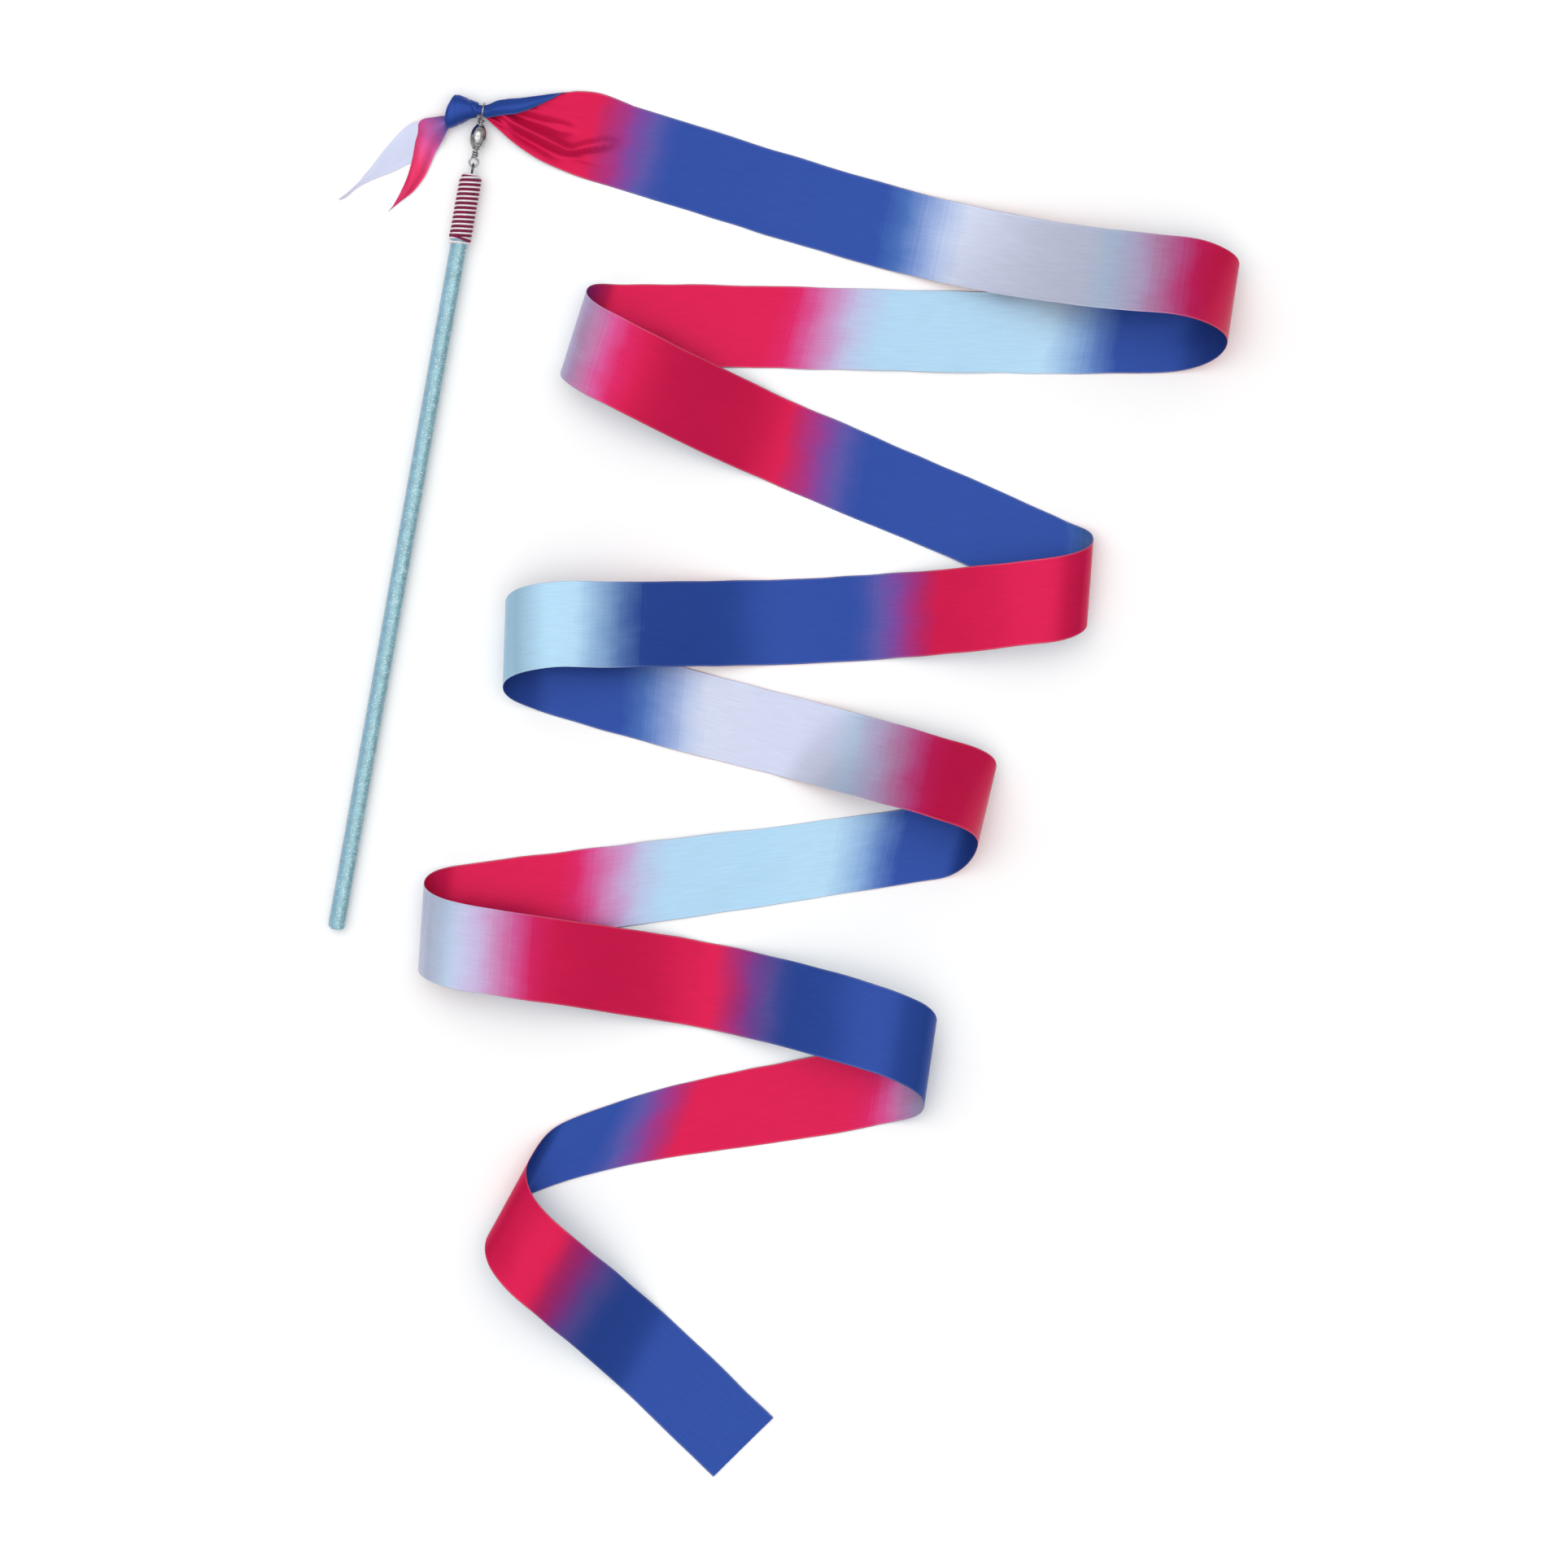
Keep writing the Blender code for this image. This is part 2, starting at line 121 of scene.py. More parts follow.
def throughRows(rows, spans):
    # A smooth table: every column of numbers runs through its rows without kinks
    made = []
    for k in range(len(rows) - 1):
        before, here = rows[max(k - 1, 0)], rows[k]
        there, after = rows[k + 1], rows[min(k + 2, len(rows) - 1)]
        for i in range(spans):
            u = i / spans
            made.append([hermite(b, (c - a) / 2, c, (d - b) / 2, u)
                         for a, b, c, d in zip(before, here, there, after)])
    made.append(list(rows[-1]))
    return made


def addObject(name, data):
    made = bpy.data.objects.new(name, data)
    bpy.context.scene.collection.objects.link(made)
    return made


def meshObject(name, mesh):
    data = bpy.data.meshes.new(name)
    mesh.to_mesh(data)
    mesh.free()
    return addObject(name, data)


def makePiece(name, mesh, materials, body, nodes=(), sharp=50):
    bmesh.ops.scale(mesh, verts=mesh.verts, vec=(millimetre,) * 3)
    piece = meshObject(name, mesh)
    for material in materials:
        piece.data.materials.append(material)
    piece.data.shade_smooth()
    piece.data.set_sharp_from_angle(angle=math.radians(sharp))
    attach(piece, body)
    if nodes:
        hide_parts(*nodes)
    return piece


def skinRings(mesh, rings, closed=False):
    # Joins rings with the same number of points, and caps the ends of an open row
    made = [[mesh.verts.new(point) for point in ring] for ring in rings]
    pairs = list(zip(made, made[1:]))
    if closed:
        pairs.append((made[-1], made[0]))
    for first, second in pairs:
        for i in range(len(first)):
            j = (i + 1) % len(first)
            mesh.faces.new((first[i], first[j], second[j], second[i]))
    if not closed:
        mesh.faces.new(list(reversed(made[0])))
        mesh.faces.new(made[-1])
    return made


def sweep(points, radii, sides, section=None):
    # A wire or strand along the points. section(ring, angle) gives the share of the radius
    # outwards and along the third direction.
    mesh = bmesh.new()
    rings = []
    across = None
    for i, point in enumerate(points):
        ahead = (points[min(i + 1, len(points) - 1)] - points[max(i - 1, 0)]).normalized()
        across = ahead.orthogonal() if across is None else across
        across = (across - ahead * across.dot(ahead)).normalized()
        other = ahead.cross(across)
        ring = []
        for k in range(sides):
            angle = 2 * math.pi * k / sides
            share = section(i, angle) if section else 1.0
            ring.append(point + radii[i] * share * (math.cos(angle) * across
                                                    + math.sin(angle) * other))
        rings.append(ring)
    skinRings(mesh, rings)
    bmesh.ops.recalc_face_normals(mesh, faces=mesh.faces)
    return mesh


# Where the wand lies, from the joints

class WandFrame:
    # The wand's own directions. Zero along it is the top of the whipping.
    pivotAlong = 4.35  # the wand's pivot above the top of the whipping, in mm

    def __init__(self):
        self.along = Vector(joints["barrel_spin"]["axis"]).normalized()
        self.aside = Vector(joints["wand_swing"]["axis"]).normalized()
        self.down = self.along.cross(self.aside)
        self.level = Vector((-self.aside.y, self.aside.x, 0.0))
        pivot = Vector(joints["wand_swing"]["pos_m"]) / millimetre
        self.top = pivot - self.along * self.pivotAlong
        self.neck = Vector(joints["loop_on_neck"]["pos_m"]) / millimetre
        self.neckAlong = (self.neck - self.top).dot(self.along)

    def place(self, point):
        return self.top + self.aside * point[0] + self.down * point[1] + self.along * point[2]

    def put(self, mesh):
        for vert in mesh.verts:
            vert.co = self.place(vert.co)
        return mesh


wand = WandFrame()

# Satin: woven ribbon, dyed in bands on each face
# Polyester satin: long floats give it a soft gloss that is broad across the ribbon, and the
# bands bleed into each other in fine steps because the dye follows the weft.

ribbonWidth = 50.0
satinDye = {
    "repeat": 490.0,        # mm along the ribbon from one violet band to the next
    "frontViolet": 92.5,    # mm from the neck to the first violet band on the front
    "backViolet": 1383.5,   # the same on the back
    "cutViolet": -76.0,     # the same at the cut end
    "stepLength": 1.7,      # the weft steps in the bleeding, in mm
    "stepShift": 0.0025,    # how far a weft step moves the dye, as a share of the repeat
    "waverLength": 22.222,  # the slow waver of a band across the ribbon, in mm
    "waverShift": 0.0045,
    "slubLength": 16.0,     # faint thick and thin warp threads, in mm
    "slubWidth": 1.1,       # real threads are 0.1 mm apart, drawn coarser to show
    "warpTone": (0.77, 0.84),
    "selvage": "EDEBF2",
    "selvageShare": 0.08,
    "roughness": 0.32,
    "lustre": 0.28,         # share of light that the long floats throw back in their own dye
    "blend": ((0.0, "78449A"), (0.020, "5853A3"), (0.038, "3A4EA2"), (0.055, "2B4BA1"),
              (0.316, "2D4FA4")),
    "frontLight": ((0.343, "476DB4"), (0.361, "6D8AC6"), (0.382, "97ABD8"), (0.40, "B8C6E6"),
                   (0.422, "CFD6EC"), (0.575, "CDD2EB"), (0.612, "BDD0EB"),
                   (0.649, "C6B1D9"), (0.672, "CA87B8")),
    "backLight": ((0.343, "5E81C2"), (0.361, "84AAD9"), (0.382, "9FC4E7"), (0.402, "B4DAF3"),
                  (0.50, "AFD6F0"), (0.60, "AED3EE"), (0.62, "B2CBE8"), (0.64, "B9BEE0"),
                  (0.662, "C499C9")),
    "redBack": ((0.694, "D25395"), (0.716, "D92064"), (0.74, "DB1752"), (0.945, "DA154F"),
                (0.963, "BC2163"), (0.982, "9F3081"), (1.0, "78449A")),
    # The bleed at the cut end is paler, and its pink is stronger; the light pink in the middle of
    # the bleed is partly dye and partly a painted sheen highlight
    "cutEnd": ((0.0, "5C57A8"), (0.5, "5C57A8"), (0.897, "C23462"), (0.928, "E23163"),
               (0.945, "E8386A"), (0.958, "F04D85"), (0.971, "E2569E"), (0.9835, "AE5EA5"),
               (0.991, "8A64AE"), (1.0, "5C57A8")),
}


middling = {"From Min": 0.3, "From Max": 0.7}   # where most of a noise lies


def satinMaterial(name, violetAt, stops):
    material, tree, shader = newMaterial(name)
    along = addNode(tree, "ShaderNodeAttribute", attribute_name="alongRibbon").outputs["Fac"]
    across = addNode(tree, "ShaderNodeAttribute", attribute_name="acrossRibbon").outputs["Fac"]

    def clothPlace(alongScale, acrossScale):
        scaled = [addNode(tree, "ShaderNodeMath", {0: value, 1: scale}, operation="MULTIPLY")
                  for value, scale in ((along, alongScale), (across, acrossScale))]
        return addNode(tree, "ShaderNodeCombineXYZ",
                       {"X": scaled[0].outputs[0], "Y": scaled[1].outputs[0]}).outputs[0]

    # The phase of the dye, with small steps along the weft and a slow waver across it
    phase = addNode(tree, "ShaderNodeMath",
                    {0: along, 1: 1 / satinDye["repeat"], 2: -violetAt / satinDye["repeat"]},
                    operation="MULTIPLY_ADD")
    steps = addNode(tree, "ShaderNodeTexNoise",
                    {"W": along, "Scale": 1 / satinDye["stepLength"], "Detail": 1.0},
                    noise_dimensions="1D")
    stepShift = addNode(tree, "ShaderNodeMapRange",
                        {"Value": steps.outputs["Fac"], "From Min": 0.2, "From Max": 0.8,
                         "To Min": -satinDye["stepShift"], "To Max": satinDye["stepShift"]})
    waver = addNode(tree, "ShaderNodeTexNoise",
                    {"Vector": clothPlace(1 / satinDye["waverLength"], 3.0),
                     "Scale": 1.0, "Detail": 2.0})
    waverShift = addNode(tree, "ShaderNodeMapRange",
                         {"Value": waver.outputs["Fac"], **middling,
                          "To Min": -satinDye["waverShift"], "To Max": satinDye["waverShift"]})
    moved = phase
    for shift in (stepShift, waverShift):
        moved = addNode(tree, "ShaderNodeMath", {0: moved.outputs[0], 1: shift.outputs[0]},
                        operation="ADD")
    share = addNode(tree, "ShaderNodeMath", {0: moved.outputs[0]}, operation="FRACT")
    dye = addNode(tree, "ShaderNodeValToRGB", {"Fac": share.outputs[0]})
    setRamp(dye, stops)
    # Warp threads, long along the ribbon and narrow across it
    slubs = clothPlace(1 / satinDye["slubLength"], ribbonWidth / satinDye["slubWidth"])
    warp = addNode(tree, "ShaderNodeTexNoise", {"Vector": slubs, "Scale": 1.0, "Detail": 2.0})
    warpTone = addNode(tree, "ShaderNodeMapRange",
                       {"Value": warp.outputs["Fac"], **middling,
                        "To Min": satinDye["warpTone"][0],
                        "To Max": satinDye["warpTone"][1]})
    toned = addNode(tree, "ShaderNodeVectorMath",
                    {0: dye.outputs["Color"], "Scale": warpTone.outputs[0]}, operation="SCALE")
    # The selvage: a millimetre of plain weave at each edge, a little paler and dotted
    fromEdge = addNode(tree, "ShaderNodeMath",
                       {0: addNode(tree, "ShaderNodeMath", {0: across, 1: 0.5},
                                   operation="SUBTRACT").outputs[0]}, operation="ABSOLUTE")
    selvage = addNode(tree, "ShaderNodeMapRange",
                      {"Value": fromEdge.outputs[0], "From Min": 0.479, "From Max": 0.488,
                       "To Min": 0.0, "To Max": satinDye["selvageShare"]})
    dots = addNode(tree, "ShaderNodeMath", {0: along, 1: 3.4}, operation="MULTIPLY")
    dots = addNode(tree, "ShaderNodeMath", {0: dots.outputs[0]}, operation="SINE")
    dotted = addNode(tree, "ShaderNodeMath", {0: dots.outputs[0], 1: 0.2, 2: 0.8},
                     operation="MULTIPLY_ADD")
    selvageShare = addNode(tree, "ShaderNodeMath",
                           {0: selvage.outputs[0], 1: dotted.outputs[0]}, operation="MULTIPLY")
    colour = addNode(tree, "ShaderNodeMix",
                     {"Factor": selvageShare.outputs[0], 6: toned.outputs[0],
                      7: hexColour(satinDye["selvage"])}, data_type="RGBA")
    bump = addNode(tree, "ShaderNodeBump",
                   {"Height": warp.outputs["Fac"], "Strength": 0.10, "Distance": 0.0003})
    rib = addNode(tree, "ShaderNodeBump",
                  {"Height": steps.outputs["Fac"], "Strength": 0.06, "Distance": 0.0003,
                   "Normal": bump.outputs[0]})
    setShader(shader, BaseColor=colour.outputs[2], Normal=rib.outputs[0],
              Roughness=satinDye["roughness"], Metallic=satinDye["lustre"],
              SpecularIORLevel=0.1, SheenWeight=0.02, SheenRoughness=0.4)
    return material


def dyeStops(light):
    return satinDye["blend"] + satinDye[light] + satinDye["redBack"]


satinFront = satinMaterial("satinFront", satinDye["frontViolet"], dyeStops("frontLight"))
satinBack = satinMaterial("satinBack", satinDye["backViolet"], dyeStops("backLight"))
satinCutEnd = satinMaterial("satinCutEnd", satinDye["cutViolet"], satinDye["cutEnd"])
print("satin is dyed")

# Ribbon: one strip from the knot to its far end

ribbonSize = {
    "thickness": 0.22,
    "selvage": 0.16,       # how much thicker the woven edge is
    "ringEvery": 3.2,      # mm between rings along the strip
    "rippleHeight": 1.1,
    "rippleLength": 85.0,
    "edgeWaver": 0.5,
}
layoutShift = Vector((-0.363, 0.685, 0.0))  # from the layout's origin to the frame's
creaseLength = 1.02 * ribbonWidth
ribbonStart = dict(x=-95.7, y=379.0, lean=15.5, heading=-17.0)
ribbonEnd = dict(x=-23.7, y=-395.7, lean=45.5, heading=-44.5)

# Each fold of the zigzag, in order: its side, the middle of its crease, how the crease leans,
# how high the loop stands, how much higher its lower end is, which leg is on top, the length
# over which that leg comes down, and the reach, drop and heading of the bend on each side.
ribbonFolds = [
    dict(side=1, x=267.0, y=283.4, lean=9.5, rise=44.0, tilt=16.0, over="enter", run=165.0,
         enter=(40.5, 17.0, -4.0), leave=(40.0, 15.5, 181.0)),
    dict(side=-1, x=-124.2, y=268.1, lean=17.5, rise=34.0, tilt=0.0, over="leave", run=120.0,
         enter=(22.0, 4.5, 180.0), leave=(25.0, 19.0, -27.5)),
    dict(side=1, x=182.5, y=119.5, lean=4.2, rise=30.0, tilt=0.0, over="leave", run=110.0,
         enter=(17.0, 11.5, -25.0), leave=(26.0, 11.5, 187.0)),
    dict(side=-1, x=-165.3, y=81.7, lean=1.8, rise=40.0, tilt=2.0, over="enter", run=130.0,
         enter=(36.5, 12.0, 180.0), leave=(30.5, 16.5, -17.5)),
    dict(side=1, x=120.9, y=-14.8, lean=13.8, rise=38.0, tilt=18.0, over="enter", run=100.0,
         enter=(28.0, 17.5, -17.0), leave=(24.0, 19.5, 189.0)),
    dict(side=-1, x=-214.7, y=-84.8, lean=3.7, rise=34.0, tilt=0.0, over="leave", run=150.0,
         enter=(23.0, 11.0, 187.5), leave=(31.5, 13.5, -9.0)),
    dict(side=1, x=87.5, y=-166.9, lean=8.3, rise=38.0, tilt=0.0, over="enter", run=110.0,
         enter=(30.0, 20.5, -18.0), leave=(29.0, 12.0, 193.0)),
    dict(side=-1, x=-162.8, y=-246.2, lean=28.7, rise=36.0, tilt=0.0, over="leave", run=90.0,
         enter=(23.0, 23.0, 203.0), leave=(18.5, 37.5, -40.0)),
]


def foldPoints(fold, edge):
    # Entry, tip and exit of one edge round a fold, each as a place and a pull
    rise = fold["rise"] - edge * fold["tilt"]
    heightIn, heightOut = (rise, 0.0) if fold["over"] == "enter" else (0.0, rise)
    half = 0.5 * math.sqrt(creaseLength ** 2 - fold["tilt"] ** 2)
    tip = Vector((fold["x"], fold["y"], rise / 2)) + edge * half * upCrease(fold["lean"])
    reachIn, dropIn, headingIn = fold["enter"]
    reachOut, dropOut, headingOut = fold["leave"]
    entry = Vector((tip.x - fold["side"] * reachIn, tip.y + dropIn, heightIn))
    leaving = Vector((tip.x - fold["side"] * reachOut, tip.y - dropOut, heightOut))
    pull = -upCrease(fold["lean"]) * (dropIn + dropOut) / 2
    pull.z = (heightOut - heightIn) / 2
    quarter = math.pi / 2
    return ((entry, quarter * reachIn * toward(headingIn)), (tip, quarter * pull),
            (leaving, quarter * reachOut * toward(headingOut)))


def endPoints(at, edge):
    place = Vector((at["x"], at["y"], 0.0))
    return place + edge * ribbonWidth / 2 * upCrease(at["lean"]), toward(at["heading"])


def ribbonEdge(edge, spans):
    # One edge of the full-width ribbon. spans has the number of steps for each leg and bend.
    line = []
    here, pull = endPoints(ribbonStart, edge)
    before = None
    for number, after in enumerate(ribbonFolds + [None]):
        entry = foldPoints(after, edge) if after else (endPoints(ribbonEnd, edge),)
        target, targetPull = entry[0]
        length = (target - here).to_2d().length
        pullIn = pull.normalized() * length
        pullOut = targetPull.normalized() * length
        for i in range(spans[number][0] + (after is None)):
            u = i / spans[number][0]
            point = hermite(here, pullIn, target, pullOut, u)
            point.z = 0.0
            if before and before["over"] == "leave":
                point.z += here.z * (1 - smooth(u * length / before["run"]))
            if after and after["over"] == "enter":
                point.z += target.z * (1 - smooth((1 - u) * length / after["run"]))
            line.append(point + layoutShift)
        if not after:
            return line
        for first, second in zip(entry, entry[1:]):
            for i in range(spans[number][1]):
                point = hermite(*first, *second, i / spans[number][1])
                line.append(point + layoutShift)
        here, pull = entry[2]
        before = after


# The gathered stretch between the ring and the full width, in mm from the neck: distance and
# reach of the top, the same for the bottom, the share of the width that is turned over at the
# top, how far that flap reaches back, the flap's crown, the height and depth of the pleats.
fanRows = [
    (-4.5, 3.0, -4.5, -3.0, 0.24, 6.0, 3.0, 6.8, 2.4),
    (0.0, 3.1, 0.0, -3.1, 0.24, 6.2, 3.0, 6.8, 2.4),
    (3.2, 4.6, 3.2, -4.4, 0.23, 8.4, 3.0, 6.3, 2.4),
    (7.3, 7.4, 7.0, -6.9, 0.23, 9.8, 2.7, 5.4, 2.3),
    (13.3, 9.6, 12.6, -10.2, 0.215, 9.9, 2.3, 4.8, 1.6),
    (20.4, 11.5, 19.4, -14.4, 0.20, 9.7, 1.9, 4.3, 1.2),
    (29.7, 14.5, 28.2, -18.8, 0.15, 7.3, 1.4, 3.7, 0.9),
    (39.0, 17.6, 37.0, -22.3, 0.075, 3.5, 0.9, 3.0, 0.7),
    (46.5, 19.9, 44.4, -24.4, 0.0, 0.0, 0.3, 2.4, 0.5),
    (55.5, 22.3, 52.6, -26.3, 0.0, 0.0, 0.0, 1.8, 0.3),
    (68.5, 22.9, 65.0, -28.6, 0.0, 0.0, 0.0, 0.9, 0.2),
    (87.7, 19.2, 83.0, -30.6, 0.0, 0.0, 0.0, 0.2, 0.0),
]
acrossSteps = 56


def acrossShares():
    # Closer together at the woven edges
    inner = [0.02 + 0.96 * i / acrossSteps for i in range(acrossSteps + 1)]
    return [0.0, 0.006, 0.013] + inner + [0.987, 0.994, 1.0]


def pleat(share, depth):
    # Soft ridges and valleys of unequal width that run out from the neck
    wave = 0.62 * math.sin(2 * math.pi * (2.3 * share + 0.1)) + 0.42 * math.sin(
        2 * math.pi * (4.6 * share + 0.4))
    return depth * wave * 0.75


# Folds that the gathering throws across the fan: distance and offset of each end, width, height
fanFolds = [
    ((14.0, -2.6), (54.0, -14.0), 3.0, 4.2),
    ((20.0, 0.5), (52.0, -1.5), 4.2, -3.0),
    ((20.0, -9.5), (48.0, -19.5), 3.0, -2.4),
    ((56.0, -13.5), (78.0, -4.0), 2.6, 2.6),
    ((52.0, -17.5), (76.0, -14.5), 3.4, -1.4),
]


def foldLift(at, lateral):
    lift = 0.0
    for (startAt, startSide), (endAt, endSide), width, height in fanFolds:
        run = Vector((endAt - startAt, endSide - startSide))
        spot = Vector((at - startAt, lateral - startSide))
        share = spot.dot(run) / run.length_squared
        if -0.3 < share < 1.3:
            off = (spot - run * share).length / width
            ends = smooth((share + 0.3) / 0.5) * smooth((1.3 - share) / 0.5)
            lift += height * math.exp(-off * off) * ends
    return lift


def fanRings(shares):
    rings = []
    table = throughRows(fanRows, 5)[:-1]
    for topAt, top, bottomAt, bottom, turned, flap, crown, height, depth in table:
        turned = max(turned, 0.0)
        bend = min(0.55 + 0.5 * crown, 1.3) if turned > 0.01 else 0.0
        half = min(math.pi / 2 * bend / ribbonWidth, turned) if turned else 0.0

        def distance(lateral):
            return topAt + (bottomAt - topAt) * (top - lateral) / (top - bottom)

        ring = []
        for share in shares:
            if turned and share < turned - half:
                part = share / (turned - half)
                lateral = top - flap + (flap - bend) * part
                lift = 2 * bend + crown * math.sin(math.pi * (0.08 + 0.84 * part)) - crown * 0.25
            elif turned and share < turned + half:
                angle = (share - turned) / half * math.pi / 2
                lateral = top - bend + bend * math.cos(angle)
                lift = bend - bend * math.sin(angle)
            else:
                part = (share - turned - half) / (1 - turned - half)
                lateral = top - bend + (bottom - top + bend) * part
                edgeFade = min(1.0, 6 * part, 6 * (1 - part) + 0.25)
                lift = pleat(share, depth) * edgeFade
                lift += foldLift(distance(lateral), lateral) * min(1.0, 5 * part, 5 * (1 - part))
                gathered = smooth((14.0 - topAt) / 14.0)
                lift -= gathered * 1.6 * math.sin(math.pi * part)
            point = wand.neck + wand.aside * distance(lateral) + wand.level * lateral
            point.z = max(height + lift, 0.2)
            ring.append(point)
        rings.append(ring)
    return rings


def legRings(shares):
    # Plan lengths of the legs set how many rings each one gets
    coarse = [(12, 6)] * (len(ribbonFolds) + 1)
    upper, lower = ribbonEdge(1, coarse), ribbonEdge(-1, coarse)
    spans = []
    for number in range(len(ribbonFolds) + 1):
        start = number * 24
        middles = [(a + b) / 2 for a, b in zip(upper[start:start + 13], lower[start:start + 13])]
        length = sum((b - a).length for a, b in zip(middles, middles[1:]))
        spans.append((max(12, round(length / ribbonSize["ringEvery"])), 16))
    upper, lower = ribbonEdge(1, spans), ribbonEdge(-1, spans)
    return [[first.lerp(last, share) for share in shares] for first, last in zip(upper, lower)]


def gridNormal(rings, i, k):
    ahead = rings[min(i + 1, len(rings) - 1)][k] - rings[max(i - 1, 0)][k]
    ring = rings[i]
    across = ring[max(k - 1, 0)] - ring[min(k + 1, len(ring) - 1)]
    normal = ahead.cross(across)
    return normal.normalized() if normal.length > 1e-9 else Vector((0, 0, 1))


def clothMesh(rings, alongs, shares, thickness, selvage):
    # A closed two-faced sheet: the first material is its front and the second its back
    mesh = bmesh.new()
    alongLayer = mesh.verts.layers.float.new("alongRibbon")
    acrossLayer = mesh.verts.layers.float.new("acrossRibbon")
    layers = []
    for face in (1, -1):
        layer = []
        for i, ring in enumerate(rings):
            row = []
            for k, point in enumerate(ring):
                edge = max(0.0, 1 - min(shares[k], 1 - shares[k]) / 0.018)
                bead = thickness + selvage * math.sqrt(edge)
                if shares[k] in (0.0, 1.0):
                    bead = thickness * 0.5
                vert = mesh.verts.new(point + gridNormal(rings, i, k) * face * bead / 2)
                vert[alongLayer] = alongs[i]
                vert[acrossLayer] = shares[k]
                row.append(vert)
            layer.append(row)
        layers.append(layer)
    front, back = layers

    def quad(*verts, side=0):
        mesh.faces.new(verts).material_index = side

    for i in range(len(rings) - 1):
        j = i + 1
        for k in range(len(shares) - 1):
            quad(front[i][k], front[i][k + 1], front[j][k + 1], front[j][k])
            quad(back[i][k], back[j][k], back[j][k + 1], back[i][k + 1], side=1)
        quad(front[i][0], front[j][0], back[j][0], back[i][0])
        quad(front[i][-1], back[i][-1], back[j][-1], front[j][-1])
    for k in range(len(shares) - 1):
        quad(front[0][k], back[0][k], back[0][k + 1], front[0][k + 1])
        quad(front[-1][k], front[-1][k + 1], back[-1][k + 1], back[-1][k])
    return mesh


def rippled(rings, alongs, shares, firstLeg):
    # Soft waves that the ribbon keeps from its spool, and edges that aren't quite straight
    moved = []
    for i, ring in enumerate(rings):
        fade = smooth((i - firstLeg) / 20.0)
        waver = [ribbonSize["edgeWaver"] * noise.noise(Vector((alongs[i] / 21.0, seed, 0.5)))
                 for seed in (3.1, 7.7)]
        across = (ring[-1] - ring[0]).normalized()
        row = []
        for k, point in enumerate(ring):
            share = shares[k]
            wave = noise.noise(Vector((alongs[i] / ribbonSize["rippleLength"],
                                       share * 1.3, 4.2)))
            fine = noise.noise(Vector((alongs[i] / 26.0, share * 2.5, 9.4)))
            curl = (2 * share - 1) ** 4 * noise.noise(Vector((alongs[i] / 48.0, share * 2, 1.3)))
            lift = ribbonSize["rippleHeight"] * (0.5 + wave + 0.28 * fine) + 0.9 * abs(curl)
            sideways = waver[0] * (1 - share) ** 2 + waver[1] * share ** 2
            normal = gridNormal(rings, i, k)
            flat = abs(normal.z) ** 2
            lifted = point + fade * (across * sideways + Vector((0, 0, max(lift, 0.0) * flat)))
            lifted.z = max(lifted.z, 0.0) + 0.2 * (i >= firstLeg)
            row.append(lifted)
        moved.append(row)
    return moved


def lengthAlong(rings):
    # Length along the middle of the strip, from the neck
    middles = [(ring[0] + ring[-1]) / 2 for ring in rings]
    alongs = [0.0]
    for a, b in zip(middles, middles[1:]):
        alongs.append(alongs[-1] + (b - a).length)
    neckRing = min(range(len(rings)), key=lambda i: (middles[i] - wand.neck).to_2d().length)
    return [value - alongs[neckRing] for value in alongs]


shares = acrossShares()
fan = fanRings(shares)
strip = fan + legRings(shares)
stripAlong = lengthAlong(strip)
strip = rippled(strip, stripAlong, shares, len(fan))
ribbon = makePiece("ribbonStrip",
                   clothMesh(strip, stripAlong, shares, ribbonSize["thickness"],
                             ribbonSize["selvage"]),
                   [satinFront, satinBack], "ribbon", ["ribbon"], 80)

# Knot: the strip tied on itself beside the ring

# Distance from the neck, upper and lower reach and half height, in mm
knotRows = [
    (-1.6, 2.9, -2.9, 2.9), (-2.9, 3.0, -3.3, 3.0), (-3.1, 3.7, -4.2, 3.6),
    (-3.4, 4.2, -4.9, 4.4), (-4.4, 4.5, -5.3, 5.0), (-6.2, 4.8, -6.0, 5.7),
    (-8.6, 5.4, -7.6, 6.3), (-11.4, 6.1, -9.7, 6.8), (-14.2, 6.7, -11.6, 6.9),
    (-16.6, 7.0, -13.1, 6.6), (-17.8, 6.2, -13.7, 6.2), (-18.7, 3.8, -13.6, 5.5),
    (-19.6, 1.0, -12.6, 4.6), (-20.3, -1.4, -11.4, 3.6), (-21.6, -2.6, -10.4, 2.4),
]


def squared(value, power):
    # Below a power of 1 a circle turns a little square
    return math.copysign(abs(value) ** power, value)


